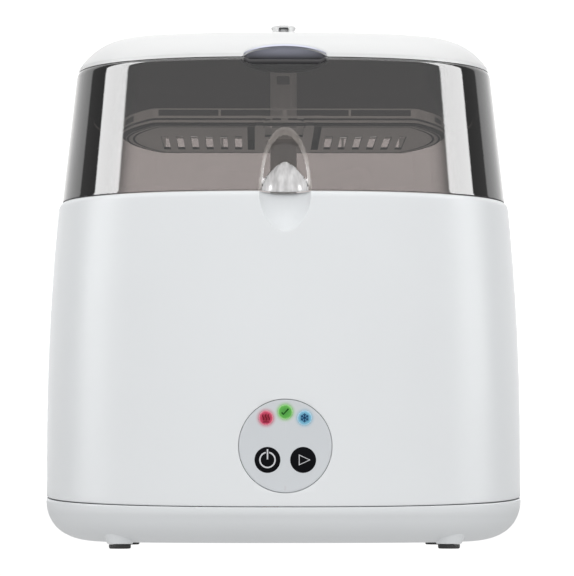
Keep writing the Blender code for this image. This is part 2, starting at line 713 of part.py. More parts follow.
def upper_tray():
    top = TRAY_Z + TRAY_RIM
    tray = add_object("upper_tray", plate_z(tray_outline(0.0), TRAY_Z, top), "cream")
    hollow = plate_z(tray_outline(TRAY_RIM_WALL), TRAY_Z + TRAY_FLOOR, top + 5)
    cut_all(tray, add_object("tray_hollow", hollow))
    slots = [(TRAY_SLOT_FIRST_X + TRAY_SLOT_PITCH * index, TRAY_SLOT_REACH) for index in range(TRAY_SLOTS)]
    slots.append((TRAY_FRONT_SLOT_X, TRAY_FRONT_SLOT_REACH))
    half = TRAY_SLOT_WIDTH / 2
    for side in (-1, 1):
        for across, (front, back) in slots:
            x = side * across
            cutter = block(x - half, x + half, front, back, TRAY_Z - 5, top + 5)
            cut_all(tray, add_object("tray_slot", cutter))
    boolean(tray, add_object("tray_hub", cylinder(13.0, TRAY_Z, TRAY_Z + 12, sides=20)), "UNION")
    cut_all(tray, add_object("tray_bore", cylinder(POST_RADIUS + GAP, TRAY_Z - 5, TRAY_Z + 30, sides=20)))
    return tray


# ---------------------------------------------------------------- lid

def niche(grow):
    """The finger niche at the foot of the window: a tall half bowl that leans with the wall."""
    front = lid_half_width(LID_FOOT_Z) - WIDTH_LESS_DEPTH
    return ellipsoid(NICHE, (0, 1.2 - front, LID_FOOT_Z), lean=-math.atan(LID_TAPER), grow=grow)


def pocket(grow):
    """The lens-shaped grip pocket that opens through an arch in the cap's front edge."""
    front = lid_half_width(POCKET_Z) - WIDTH_LESS_DEPTH
    return ellipsoid(POCKET, (0, -front, POCKET_Z), grow=grow)


def lid_window():
    """The smoke shell, with a flange under the cap, the niche and the grip pocket."""
    top = CAP_EDGE_Z - 0.3
    sections = [(lid_half_width(z), z) for z in (LID_FOOT_Z, 245.0, 272.0, top - 1.6)]
    sections += [(lid_half_width(top) - 0.3, top - 0.6), (lid_half_width(top) - 0.9, top)]
    window = add_object("lid_window", oval_solid(sections), "smoke")
    heights = (LID_FOOT_Z - 1, 245.0, 272.0, top - LID_WALL)
    inside = [(lid_half_width(z) - LID_WALL, z) for z in heights]
    inside += [(lid_half_width(top) - 9, top - LID_WALL), (lid_half_width(top) - 9, top + 1)]
    hollow = add_object("window_hollow", oval_solid(inside))
    boolean(hollow, add_object("niche_wall", niche(LID_WALL)))
    pocket_wall = add_object("pocket_wall", pocket(LID_WALL))
    boolean(hollow, pocket_wall)
    cut_all(window, hollow, add_object("window_trim", above_cap_edge(-0.3)))
    shell_room = add_object("under_cap_room", loft(dome_rings(LID_WALL + 0.4, 280.0)))
    upper_wall = add_object("upper_pocket_wall", pocket(LID_WALL))
    boolean(upper_wall, shell_room, "INTERSECT")
    boolean(window, upper_wall, "UNION")
    mouth = add_object("pocket_cut", pocket(0.0))
    wall_y = LID_WALL - 0.6 - (lid_half_width(CREASE_Z) - WIDTH_LESS_DEPTH)
    boolean(mouth, add_object("wall_kept", block(-40, 40, -130, wall_y, 280, CREASE_Z)))
    cut_all(window, add_object("niche_cut", niche(0.0)), mouth)
    return window


def lid_cap():
    """The white top: a shell over the crown, with an arch over the grip pocket and a deep rear skirt."""
    cap = add_object("lid_cap", loft(dome_rings(0.0, CAP_EDGE_Z - SKIRT_DROP - 8)), "white")
    hollow = add_object("cap_hollow", loft(dome_rings(LID_WALL, CAP_EDGE_Z - SKIRT_DROP - 9)))
    cut_all(cap, hollow, add_object("cap_trim", below_cap_edge(0.0)))
    arch = add_object("cap_arch", rod_y(1.0, -140, -50, 0, 0, sides=28))
    arch.data.transform(Matrix.Diagonal((POCKET[0], 1.0, POCKET[2], 1.0)))
    arch.data.transform(Matrix.Translation((0, 0, POCKET_Z * MM)))
    cut_all(cap, arch, add_object("vent_hole", cylinder(3.3, 310, 340, sides=20)))
    return cap


def vent():
    """The steam outlet on the crown: a ported white collar around a grey valve core."""
    foot = CAP_TOP_Z + GAP
    collar = add_object("vent_collar", cylinder(8.0, foot, VENT_TOP_Z, sides=24), "cream")
    cut_all(collar, add_object("collar_bore", cylinder(5.4, foot - 5, VENT_TOP_Z - 1.5, sides=20)))
    for name, spec in (("x", (-20, 20, -3.4, 3.4)), ("y", (-3.4, 3.4, -20, 20))):
        port = block(*spec, foot + 2.2, VENT_TOP_Z - 1.5)
        cut_all(collar, add_object("vent_port_" + name, port))
    turned("vent_valve", [
        (0.0, 320.8), (2.8, 320.8), (2.8, foot), (4.8, foot + 0.2),
        (4.8, VENT_TOP_Z - 2.2), (0.0, VENT_TOP_Z - 1.8),
    ], "grey")


def hinge(name, x):
    """One of the two rear hinges: a bracket with two ears on the base, an arm on the lid and a pin."""
    wall_y = HINGE_Y - 7.5
    base = block(x - 13.2, x + 13.2, wall_y + GAP, HINGE_Y + 2, HINGE_Z - 6.2, HINGE_Z - 4.4)
    bracket = add_object("hinge_bracket_" + name, base, "white")
    for side in (-1, 1):
        inner, outer = x + side * 6.4, x + side * 13.2
        low, high = min(inner, outer), max(inner, outer)
        ear_foot = block(low, high, HINGE_Y - 3, HINGE_Y + 2, HINGE_Z - 5, HINGE_Z)
        boolean(bracket, add_object("ear_foot", ear_foot), "UNION")
        boolean(bracket, add_object("ear", rod_x(KNUCKLE_RADIUS, low, high, HINGE_Y, HINGE_Z)), "UNION")
    cut_all(bracket, add_object("ear_bore", rod_x(PIN_RADIUS + 0.08, x - 20, x + 20, HINGE_Y, HINGE_Z)))
    arm = add_object("hinge_arm_" + name, rod_x(KNUCKLE_RADIUS, x - 6, x + 6, HINGE_Y, HINGE_Z), "white")
    lean = math.atan(LID_TAPER)
    wall = lid_half_width(LID_FOOT_Z) - WIDTH_LESS_DEPTH
    foot = -wall_offset(x)
    leaf = block(x - 6, x + 6, 0, 2.4, -8, 20)
    bmesh.ops.rotate(leaf, matrix=Matrix.Rotation(lean, 3, "X"), verts=leaf.verts)
    bmesh.ops.translate(leaf, vec=(0, wall + GAP + 0.4 + foot, LID_FOOT_Z), verts=leaf.verts)
    boolean(arm, add_object("arm_leaf", leaf), "UNION")
    cut_all(arm, add_object("arm_bore", rod_x(PIN_RADIUS + 0.08, x - 20, x + 20, HINGE_Y, HINGE_Z)))
    move_origin(arm, (x, HINGE_Y, HINGE_Z))
    add_object("hinge_pin_" + name, rod_x(PIN_RADIUS, x - 13, x + 13, HINGE_Y, HINGE_Z, sides=20), "steel")


def wall_offset(x):
    """How far the window's rear wall stands in front of its rearmost line at a place across the lid."""
    half = lid_half_width(LID_FOOT_Z)
    depth = half - WIDTH_LESS_DEPTH
    nearest = max(abs(x) - 6.0, 0.0)
    return depth - depth * (1 - (nearest / half) ** OVAL_POWER) ** (1 / OVAL_POWER)


# ---------------------------------------------------------------- assembly

CAP_TOP_Z = CAP_EDGE_Z + CAP_ARC * (1 - math.sin(CAP_ARC_START)) + CROWN
VENT_TOP_Z = 334.0
SWITCH_TOP_Y = BOARD_Y - GAP - 5.0
GLAND_X = -70.0
GLAND_Y = 101.5
GLAND_Z = 52.0
FEET = {
    "front_left": (-FOOT_X, -FOOT_Y), "front_right": (FOOT_X, -FOOT_Y),
    "rear_left": (-FOOT_X, FOOT_Y), "rear_right": (FOOT_X, FOOT_Y),
}
SCREWS = {
    "front_left": (-80.0, -46.0), "front_right": (80.0, -46.0),
    "rear_left": (-80.0, 46.0), "rear_right": (80.0, 46.0),
}
BOARD_SCREWS = {"left": (-24.0, 65.0), "right": (24.0, 65.0)}

clear_scene()
PARTS = new_collection("bottle_sterilizer")
CUTTERS = new_collection("cutters")
MATERIALS = {name: make_material(name) for name in COLOURS}

base_housing()
base_pan()
foot_pads()
chamber_tub()
heater()
control_panel()
push_button("power_button", -BUTTON_X, "black")
push_button("start_button", BUTTON_X, "black")
for lens_name, (lens_x, lens_z) in LENS_PLACES.items():
    indicator(lens_name, lens_x, lens_z)
tact_switch("power_switch", -BUTTON_X)
tact_switch("start_switch", BUTTON_X)
control_board()
wiring()
base_screws()
lower_rack()
rack_post()
upper_tray()
lid_window()
lid_cap()
vent()
hinge("left", -HINGE_X)
hinge("right", HINGE_X)
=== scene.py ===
"""Looks for an electric bottle sterilizer: moulded shells, a smoke window, a lit panel and studio light.

Builder functions work in millimetres, +Z up and the front facing -Y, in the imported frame's own axes.
"""

import json
import math

import bmesh
import bpy
from mathutils import Matrix, Vector


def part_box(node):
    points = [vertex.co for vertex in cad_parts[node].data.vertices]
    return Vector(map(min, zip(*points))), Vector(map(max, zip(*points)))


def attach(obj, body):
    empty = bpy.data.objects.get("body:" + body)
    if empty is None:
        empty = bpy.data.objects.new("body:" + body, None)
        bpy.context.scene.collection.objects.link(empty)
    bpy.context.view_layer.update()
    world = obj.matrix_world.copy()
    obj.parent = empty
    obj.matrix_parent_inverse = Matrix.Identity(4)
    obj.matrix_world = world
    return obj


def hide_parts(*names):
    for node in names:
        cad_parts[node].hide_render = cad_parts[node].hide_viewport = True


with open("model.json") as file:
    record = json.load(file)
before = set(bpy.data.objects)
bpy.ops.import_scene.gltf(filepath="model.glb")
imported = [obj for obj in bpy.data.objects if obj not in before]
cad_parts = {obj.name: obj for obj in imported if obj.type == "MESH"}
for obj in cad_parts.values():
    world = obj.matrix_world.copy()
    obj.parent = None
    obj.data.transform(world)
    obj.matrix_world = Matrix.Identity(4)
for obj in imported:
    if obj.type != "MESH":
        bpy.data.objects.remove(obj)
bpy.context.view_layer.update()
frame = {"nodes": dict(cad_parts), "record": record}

MM = 0.001
FULL_TURN = 2 * math.pi


def span(node):
    """A CAD node's lowest and highest corners in millimetres."""
    low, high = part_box(node)
    return Vector(low) / MM, Vector(high) / MM


def middle(node):
    low, high = span(node)
    return (low + high) / 2


def radius_of(node):
    low, high = span(node)
    return (high.x - low.x) / 2


# ---------------------------------------------------------------- sizes, from the frame where it has them

housing_high = span("base_housing")[1]
window_low, window_high = span("lid_window")
panel_low, panel_high = span("control_panel")
tub_low, tub_high = span("chamber_tub")
rack_low, rack_high = span("lower_rack")
tray_low, tray_high = span("upper_tray")
post_low, post_high = span("rack_post")
plate_low, plate_high = span("heating_plate")

BASE_HALF_WIDTH = housing_high.x
WIDTH_LESS_DEPTH = housing_high.x - housing_high.y
OVAL_POWER = 2.5
WIDEST_Z = 70.0
NARROWING = 3.2e-4
BELLY_START_Z = 33.0
BELLY_HEIGHT = 29.5
BELLY_ROLL = 38.0
BELLY_POWER = 2.6
RIM_Z = housing_high.z
SHOULDER = 4.0
SEAM_Z = 33.0
SEAM_SLOPE = 0.067
SEAM_GAP = 0.8
SEAM_FADE_Z = 60.0
WALL = 2.5
GAP = 0.3
MOUTH_HALF_WIDTH = 136.8

CORNERS = ("front_left", "front_right", "rear_left", "rear_right")

LID_FOOT_Z = window_low.z
LID_HALF_WIDTH = window_high.x
LID_TAPER = 0.108
LID_WALL = 2.2
CAP_EDGE_Z = 301.4
SKIRT_DROP = 28.0
SKIRT_START_Y = 12.0
SKIRT_END_Y = 52.0
WINDOW_SHOULDER = (1.9, 3.3)  # inward and upward
CAP_ARC = 43.0
CAP_ARC_START = math.radians(27)
CROWN = 1.0
CROWN_HALF_DEPTH = 25.0

FINE_ROWS_Z = 186.0  # the finger scoop needs closer rows above this
SCOOP = (15.6, 24.6, 15.6)  # half width, height and depth
NICHE = (15.3, 37.2, 5.0)
NICHE_POWER = 2.0
DOME = (14.2, 17.8, 6.0)
DOME_POWER = 1.55
POCKET = (26.6, 13.0, 8.6)
POCKET_Z = 300.2
CREASE_Z = 299.2

TRAY_CORNER = 8.0
TRAY_BULGE = 23.0
TRAY_SLOT = (4.6, -19.0, 48.0)  # width, front end and back end
TRAY_SLOT_X = [29.0 + 9.4 * index for index in range(6)]
BAY_RADIUS = 26.0
BAYS = [(x, side * (41 if x == 0 else 38)) for x in (-66, 0, 66) for side in (-1, 1)]
LEGS = [(x, y) for x in (-97, 97) for y in (-30, 30)]
POST_RADIUS = 8.5
POST_SLOT = (-4.5, 4.0, -20.0, 20.0, 295.2, 303.2)
HUB_RADIUS = 13.0
BUTTON_RADIUS = 7.5


# ---------------------------------------------------------------- outer form

def base_half_width(z):
    """Half width of the base's outer skin at a height."""
    upper = BASE_HALF_WIDTH - NARROWING * max(z - WIDEST_Z, 0.0) ** 2
    under = min(max((BELLY_START_Z - z) / BELLY_HEIGHT, 0.0), 1.0)
    return upper - BELLY_ROLL * (1 - (1 - under ** BELLY_POWER) ** (1 / BELLY_POWER))


def lid_half_width(z):
    return LID_HALF_WIDTH - LID_TAPER * (z - LID_FOOT_Z)


def smooth(part):
    part = min(max(part, 0.0), 1.0)
    return part * part * (3 - 2 * part)


def cap_edge_z(y):
    """Height of the cap's lower edge: level over the front, lower at the back."""
    return CAP_EDGE_Z - SKIRT_DROP * smooth((y - SKIRT_START_Y) / (SKIRT_END_Y - SKIRT_START_Y))


def column_angles(fine_reach=0.215, fine_step=0.005, coarse=132):
    """Angles round an oval, closely spaced across the middle of the front where the finger grips are."""
    fine = []
    count = round(fine_reach / fine_step)
    for index in range(-count, count + 1):
        share = index / count * fine_reach
        c = math.copysign(abs(share) ** (OVAL_POWER / 2), share)
        fine.append(math.atan2(-math.sqrt(1 - c * c), c) % FULL_TURN)
    rest = [FULL_TURN * step / coarse for step in range(coarse)]
    margin = FULL_TURN / coarse * 0.5
    kept = [a for a in rest if a < fine[0] - margin or a > fine[-1] + margin]
    return sorted(kept + fine)


def on_oval(angle, half_width, half_depth):
    c, s = math.cos(angle), math.sin(angle)
    x = math.copysign(abs(c) ** (2 / OVAL_POWER), c) * half_width
    y = math.copysign(abs(s) ** (2 / OVAL_POWER), s) * half_depth
    return x, y


def section(angle, half):
    """A point of the object's oval section that has a given half width."""
    return on_oval(angle, half, half - WIDTH_LESS_DEPTH)


def skin_y(x, half):
    """Where the front of an oval section of a half width is at a place across it."""
    share = min(abs(x) / half, 1.0) ** OVAL_POWER
    return -(half - WIDTH_LESS_DEPTH) * (1 - share) ** (1 / OVAL_POWER)


ANGLES = column_angles()
EVEN_ANGLES = [FULL_TURN * step / 160 for step in range(160)]


# ---------------------------------------------------------------- mesh helpers

def new_object(name, bm, material, crease=35.0):
    """A smooth-shaded mesh object in metres from a bmesh in millimetres."""
    bmesh.ops.recalc_face_normals(bm, faces=bm.faces)
    bmesh.ops.transform(bm, matrix=Matrix.Scale(MM, 4), verts=bm.verts)
    mesh = bpy.data.meshes.new(name)
    bm.to_mesh(mesh)
    bm.free()
    mesh.shade_smooth()
    mesh.set_sharp_from_angle(angle=math.radians(crease))
    obj = bpy.data.objects.new(name, mesh)
    bpy.context.scene.collection.objects.link(obj)
    if material:
        mesh.materials.append(material)
    return obj


def place(obj, body, slot, *nodes):
    """Rides on a body and stands for CAD nodes, which it hides; slot is not used."""
    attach(obj, body)
    if nodes:
        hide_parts(*nodes)
    return obj


def skin(rings, wrap=False, cap_start=False, cap_end=False):
    """A bmesh through rings of equal count; wrap joins the last ring to the first."""
    bm = bmesh.new()
    layers = [[bm.verts.new(point) for point in ring] for ring in rings]
    count = len(layers[0])
    pairs = list(zip(layers, layers[1:]))
    if wrap:
        pairs.append((layers[-1], layers[0]))
    for lower, upper in pairs:
        for i in range(count):
            j = (i + 1) % count
            bm.faces.new((lower[i], lower[j], upper[j], upper[i]))
    if cap_start:
        bm.faces.new(list(reversed(layers[0])))
    if cap_end:
        bm.faces.new(layers[-1])
    return bm


def spun(outline, centre=(0.0, 0.0), sides=48):
    """A solid turned about Z from a (radius, height) outline; radii of 0 close it on the axis."""
    x, y = centre
    bm = bmesh.new()
    rows = []
    for r, z in outline:
        if r == 0.0:
            rows.append([bm.verts.new((x, y, z))])
            continue
        row = []
        for step in range(sides):
            angle = FULL_TURN * step / sides
            row.append(bm.verts.new((x + r * math.cos(angle), y + r * math.sin(angle), z)))
        rows.append(row)
    for lower, upper in zip(rows, rows[1:]):
        if len(lower) == len(upper) == 1:
            continue
        for i in range(sides):
            j = (i + 1) % sides
            below = [lower[i % len(lower)], lower[j % len(lower)]]
            above = [upper[j % len(upper)], upper[i % len(upper)]]
            bm.faces.new(list(dict.fromkeys(below + above)))
    bmesh.ops.remove_doubles(bm, verts=bm.verts, dist=1e-5)
    return bm


def rod(radius, low, high, centre=(0.0, 0.0), sides=64):
    """A round rod along Z."""
    return spun([(0.0, low), (radius, low), (radius, high), (0.0, high)], centre, sides)


def turned_to_front(bm, x=0.0, y=0.0, z=0.0):
    """Lays a shape turned about Z on its side, so that its axis points out of the front at (x, y, z)."""
    bmesh.ops.rotate(bm, matrix=Matrix.Rotation(math.pi / 2, 3, "X"), verts=bm.verts)
    bmesh.ops.translate(bm, vec=(x, y, z), verts=bm.verts)
    return bm


def blocks(corners, rounding=0.0):
    """Separate boxes in one bmesh, each from (x0, x1, y0, y1, z0, z1), with rounded edges if asked."""
    bm = bmesh.new()
    for x0, x1, y0, y1, z0, z1 in corners:
        made = bmesh.ops.create_cube(bm, size=1.0)["verts"]
        bmesh.ops.scale(bm, vec=(x1 - x0, y1 - y0, z1 - z0), verts=made)
        bmesh.ops.translate(bm, vec=((x0 + x1) / 2, (y0 + y1) / 2, (z0 + z1) / 2), verts=made)
    if rounding:
        bmesh.ops.bevel(bm, geom=bm.edges[:], offset=rounding, segments=3, affect="EDGES", profile=0.5)
    return bm


def together(*parts):
    """One bmesh from several that don't touch."""
    first, *others = parts
    for part in others:
        mesh = bpy.data.meshes.new("part")
        part.to_mesh(mesh)
        part.free()
        first.from_mesh(mesh)
        bpy.data.meshes.remove(mesh)
    return first


def combine(obj, bm, operation="DIFFERENCE"):
    """Cuts a bmesh from an object, or joins it on, for good."""
    other = new_object("tool", bm, None)
    modifier = obj.modifiers.new("combine", "BOOLEAN")
    modifier.operation = operation
    modifier.object = other
    return bake_modifiers(obj, other)


def bake_modifiers(obj, *spent):
    """Applies an object's modifiers to its mesh and removes the objects that they used."""
    graph = bpy.context.evaluated_depsgraph_get()
    mesh = bpy.data.meshes.new_from_object(obj.evaluated_get(graph))
    obj.modifiers.clear()
    obj.data = mesh
    for other in spent:
        bpy.data.objects.remove(other, do_unlink=True)
    return obj


def soften(obj, width, segments=2, angle=40.0, crease=40.0):
    """Rounds an object's sharp edges for good."""
    bevel = obj.modifiers.new("rounding", "BEVEL")
    bevel.width = width * MM
    bevel.segments = segments
    bevel.limit_method = "ANGLE"
    bevel.angle_limit = math.radians(angle)
    bake_modifiers(obj)
    obj.data.shade_smooth()
    obj.data.set_sharp_from_angle(angle=math.radians(crease))
    return obj


# ---------------------------------------------------------------- material helpers

def material(name):
    """A material with an empty node tree, the tree, and its object coordinates."""
    made = bpy.data.materials.new(name)
    made.use_nodes = True
    tree = made.node_tree
    tree.nodes.clear()
    return made, tree, add_node(tree, "ShaderNodeTexCoord").outputs["Object"]


def add_node(tree, kind, values=None, **settings):
    """A node with its settings made and its inputs fed, each by a constant or by another node's output."""
    node = tree.nodes.new(kind)
    for key, value in settings.items():
        setattr(node, key, value)
    for key, value in (values or {}).items():
        if isinstance(value, bpy.types.NodeSocket):
            tree.links.new(value, node.inputs[key])
        else:
            node.inputs[key].default_value = value
    return node


def maths(tree, operation, *values):
    return add_node(tree, "ShaderNodeMath", dict(enumerate(values)), operation=operation).outputs[0]


def vector_maths(tree, operation, *values):
    return add_node(tree, "ShaderNodeVectorMath", dict(enumerate(values)), operation=operation)


def mix_colour(tree, factor, a, b):
    return add_node(tree, "ShaderNodeMix", {0: factor, 6: a, 7: b}, data_type="RGBA").outputs[2]


def mix_shaders(tree, factor, a, b):
    return add_node(tree, "ShaderNodeMixShader", {0: factor, 1: a, 2: b}).outputs[0]


def ease(tree, value, low, high):
    """0 up to low and 1 from high, smooth between; low may be the larger."""
    values = {"Value": value, "From Min": low, "From Max": high}
    return add_node(tree, "ShaderNodeMapRange", values, interpolation_type="SMOOTHSTEP").outputs[0]


def noise(tree, coordinates, scale, detail=3.0, roughness=0.5):
    values = {"Vector": coordinates, "Scale": scale, "Detail": detail, "Roughness": roughness}
    return add_node(tree, "ShaderNodeTexNoise", values).outputs["Fac"]


def stretch(tree, coordinates, scale, rotation=(0.0, 0.0, 0.0)):
    values = {"Vector": coordinates, "Scale": scale, "Rotation": rotation}
    return add_node(tree, "ShaderNodeMapping", values).outputs[0]


def bump(tree, height, strength, distance):
    values = {"Height": height, "Strength": strength, "Distance": distance}
    return add_node(tree, "ShaderNodeBump", values).outputs[0]


def finish_with(tree, shader):
    add_node(tree, "ShaderNodeOutputMaterial", {"Surface": shader})


def rgba(colour):
    return tuple(colour) + (1.0,)


def scaled(colour, factor):
    return tuple(min(c * factor, 1.0) for c in colour) + (1.0,)


def plastic(name, colour, roughness, waviness=0.02, texture=0.0, variation=0.02, coat=0.0, specular=0.5,
            tint=None, glow=0.0):
    """Moulded plastic: faint flow variation in colour and gloss, slight waviness, and optional fine texture.

    glow is painted light: an emission that makes pale plastic glow though it is no lamp. tint is a function
    that takes the tree, the coordinates and the colour and gives a new colour.
    """
    made, tree, coordinates = material(name)
    flow = noise(tree, coordinates, 14.0, 3.0)
    base = mix_colour(tree, flow, scaled(colour, 1 - variation), scaled(colour, 1 + variation))
    if tint:
        base = tint(tree, coordinates, base)
    height = maths(tree, "MULTIPLY", noise(tree, coordinates, 22.0, 1.0), waviness)
    if texture:
        height = maths(tree, "MULTIPLY_ADD", noise(tree, coordinates, 2600.0, 1.0), texture, height)
    fine = noise(tree, coordinates, 420.0, 2.0)
    shader = add_node(tree, "ShaderNodeBsdfPrincipled", {
        "Base Color": base, "Emission Color": base, "Emission Strength": glow,
        "Roughness": maths(tree, "MULTIPLY_ADD", fine, roughness * 0.35, roughness * 0.82),
        "Normal": bump(tree, height, 0.35, 0.001),
        "Coat Weight": coat, "Coat Roughness": 0.06, "Specular IOR Level": specular})
    finish_with(tree, shader.outputs[0])
    return made


def smoke_plastic(name, tint, edge_tint, roughness=0.03, ior=1.68, painted_haze=None):
    """Clear tinted plastic: what is behind shows through the tint, darker edge on, under a gloss.

    The outer skin alone mirrors, with an index that stands for both skins. haze, a share, how much
    it varies in streaks, and a colour, mixes in a pale diffuse that is painted light, standing in for
    the bright highlights and reflections in the clear plastic.
    """
    made, tree, coordinates = material(name)
    facing = add_node(tree, "ShaderNodeLayerWeight", {"Blend": 0.5}).outputs["Facing"]
    colour = mix_colour(tree, ease(tree, facing, *EDGE_ON), rgba(tint), rgba(edge_tint))
    streaks = maths(tree, "MULTIPLY_ADD", noise(tree, coordinates, 9.0, 2.0), 0.05, 0.975)
    shade = add_node(tree, "ShaderNodeVectorMath", {0: colour, "Scale": streaks}, operation="SCALE")
    body = add_node(tree, "ShaderNodeBsdfTransparent", {"Color": shade.outputs[0]}).outputs[0]
    if painted_haze:
        share, spread, milky = painted_haze
        painted_milk = add_node(tree, "ShaderNodeBsdfDiffuse", {"Color": rgba(milky)}).outputs[0]
        streak = noise(tree, stretch(tree, coordinates, (1.0, 1.0, 0.35)), 260.0, 2.0)
        share = maths(tree, "MULTIPLY_ADD", maths(tree, "SUBTRACT", streak, 0.5), spread, share)
        body = mix_shaders(tree, share, body, painted_milk)
    fine = noise(tree, coordinates, 300.0, 2.0)
    wear = maths(tree, "MULTIPLY_ADD", fine, roughness * 0.5, roughness * 0.75)
    values = {"Color": (1.0, 1.0, 1.0, 1.0), "Roughness": wear}
    gloss = add_node(tree, "ShaderNodeBsdfGlossy", values).outputs[0]
    fresnel = add_node(tree, "ShaderNodeFresnel", {"IOR": ior}).outputs[0]
    outside = maths(tree, "SUBTRACT", 1.0, add_node(tree, "ShaderNodeNewGeometry").outputs["Backfacing"])
    finish_with(tree, mix_shaders(tree, maths(tree, "MULTIPLY", fresnel, outside), body, gloss))
    return made


def metal(name, colour, roughness, brushed=(1.0, 1.0, 1.0), turned=False):
    """Metal with fine scratches: brushed along one direction, or in rings round the origin where turned."""
    made, tree, coordinates = material(name)
    if turned:
        radius = away_from(tree, coordinates, (0.0, 0.0, 0.0), (1.0, 1.0, 0.0))
        where = add_node(tree, "ShaderNodeCombineXYZ", {0: radius}).outputs[0]
    else:
        where = stretch(tree, coordinates, brushed)
    scratches = noise(tree, where, 900.0, 4.0, 0.7)
    shader = add_node(tree, "ShaderNodeBsdfPrincipled", {
        "Base Color": mix_colour(tree, scratches, scaled(colour, 0.8), rgba(colour)), "Metallic": 1.0,
        "Roughness": maths(tree, "MULTIPLY_ADD", scratches, roughness * 0.6, roughness * 0.7),
        "Normal": bump(tree, scratches, 0.2, 0.0002)})
    finish_with(tree, shader.outputs[0])
    return made


def away_from(tree, coordinates, spot, axes):
    """Distance in metres of an object's points from a spot, along the axes that are 1 and not 0."""
    shifted = vector_maths(tree, "SUBTRACT", coordinates, spot).outputs[0]
    flat = vector_maths(tree, "MULTIPLY", shifted, axes).outputs[0]
    return vector_maths(tree, "LENGTH", flat).outputs["Value"]


def from_lens(tree, coordinates, name):
    """Distance from a lens's middle, as seen from the front."""
    x, z = LENS_PLACES[name]
    return away_from(tree, coordinates, (x * MM, 0.0, z * MM), (1.0, 0.0, 1.0))


def lamp_glow(tree, coordinates, base):
    """The light that each lamp spills onto the panel round its lens."""
    for name in LENS_PLACES:
        away = from_lens(tree, coordinates, name)
        near = ease(tree, away, (LENS_RADIUS + 2.2) * MM, (LENS_RADIUS - 0.6) * MM)
        base = mix_colour(tree, maths(tree, "MULTIPLY", near, 0.85), base, rgba(LENS_COLOURS[name][2]))
    return base


def lit_lens(name):
    """A diffusing lens over a lamp: deep colour in the middle, paler toward its edge, and faintly lit."""
    made, tree, coordinates = material(name + "_lit")
    core, ring, edge = (rgba(colour) for colour in LENS_COLOURS[name])
    grain = maths(tree, "SUBTRACT", noise(tree, coordinates, 900.0, 2.0), 0.5)
    away = maths(tree, "MULTIPLY_ADD", grain, 0.9 * MM, from_lens(tree, coordinates, name))
    radius = LENS_RADIUS * MM
    inner = mix_colour(tree, ease(tree, away, 0.30 * radius, 0.78 * radius), core, ring)
    colour = mix_colour(tree, ease(tree, away, 0.74 * radius, 1.04 * radius), inner, edge)
    shader = add_node(tree, "ShaderNodeBsdfPrincipled", {
        "Base Color": colour, "Emission Color": colour, "Emission Strength": LENS_LIGHT,
        "Roughness": 0.4, "Specular IOR Level": 0.25})
    finish_with(tree, shader.outputs[0])
    return made


def pocket_painted_light(tree, coordinates, _base):
    """Painted light on the grip pocket: a pale painted reflection over its upper lip and deep painted shade
    below its crease.
    """
    height = add_node(tree, "ShaderNodeSeparateXYZ", {0: coordinates}).outputs[2]
    up = ease(tree, height, (CREASE_Z + 0.8) * MM, (POCKET_Z + POCKET[2]) * MM)
    return mix_colour(tree, up, (0.012, 0.011, 0.013, 1.0), (0.76, 0.78, 0.92, 1.0))


def board_traces(tree, coordinates, _base):
    """Copper tracks and pads under a circuit board's green mask."""
    tall = stretch(tree, coordinates, (1.0, 1.0, 3.0))
    cells = add_node(tree, "ShaderNodeTexBrick", {
        "Vector": stretch(tree, tall, (1.0, 1.0, 1.0), (math.pi / 2, 0.0, 0.0)),
        "Scale": 130.0, "Mortar Size": 0.035, "Mortar": (0.10, 0.34, 0.16, 1.0),
        "Color1": (0.02, 0.16, 0.06, 1.0), "Color2": (0.02, 0.13, 0.05, 1.0)})
    return cells.outputs["Color"]


# ---------------------------------------------------------------- materials

EDGE_ON = (0.13, 0.27)
LENS_RADIUS = radius_of("ready_lens")
LENS_PLACES = {name: middle(name + "_lens").xz for name in ("heat", "ready", "cool")}
LENS_LIGHT = 0.35
LENS_COLOURS = {  # middle, ring and spill
    "heat": ((0.24, 0.010, 0.030), (0.44, 0.045, 0.095), (0.62, 0.30, 0.36)),
    "ready": ((0.060, 0.27, 0.045), (0.085, 0.33, 0.055), (0.34, 0.60, 0.28)),
    "cool": ((0.045, 0.17, 0.30), (0.14, 0.35, 0.48), (0.40, 0.56, 0.66)),
}
ICON_COLOURS = {"heat": (0.12, 0.002, 0.012), "ready": (0.008, 0.085, 0.006), "cool": (0.004, 0.035, 0.10)}

WHITE = plastic("white_shell", (0.80, 0.82, 0.835), 0.34, waviness=0.015, specular=0.22)
CAP_WHITE = plastic("cap_white", (0.75, 0.755, 0.755), 0.40, waviness=0.015, specular=0.3)
# Painted shade: a dark grey copy of the cap's white for its inside faces.
CAP_INSIDE_SHADE = plastic("cap_inside_painted_shade", (0.34, 0.34, 0.355), 0.35)
SATIN = plastic("satin_liner", (0.84, 0.84, 0.835), 0.38, waviness=0.03, texture=0.02)
# The rack's glow is painted light: an emission that brightens the rack and the post.
RACK = plastic("rack_plastic", (0.70, 0.685, 0.66), 0.36, waviness=0.03, texture=0.02, glow=0.06)
PANEL = plastic("panel_face", (0.65, 0.675, 0.70), 0.40, waviness=0.01, coat=0.05, specular=0.2,
                tint=lamp_glow)
BLACK_SATIN = plastic("black_moulding", (0.02, 0.02, 0.021), 0.45, texture=0.05, variation=0.15)
BUTTON_BLACK = plastic("button_black", (0.0022, 0.0024, 0.0040), 0.42, texture=0.01, variation=0.2,
                       specular=0.08)
RUBBER = plastic("rubber", (0.030, 0.030, 0.030), 0.70, texture=0.08, variation=0.2)
SLEEVE = plastic("silicone_sleeve", (0.42, 0.06, 0.045), 0.55, texture=0.03, variation=0.1)
VALVE = plastic("valve_grey", (0.62, 0.625, 0.63), 0.45, texture=0.03, variation=0.06)
MARK_WHITE = plastic("mark_white", (0.62, 0.625, 0.65), 0.5, variation=0.04)
LED_WHITE = plastic("led_white", (0.80, 0.80, 0.74), 0.25, variation=0.03)
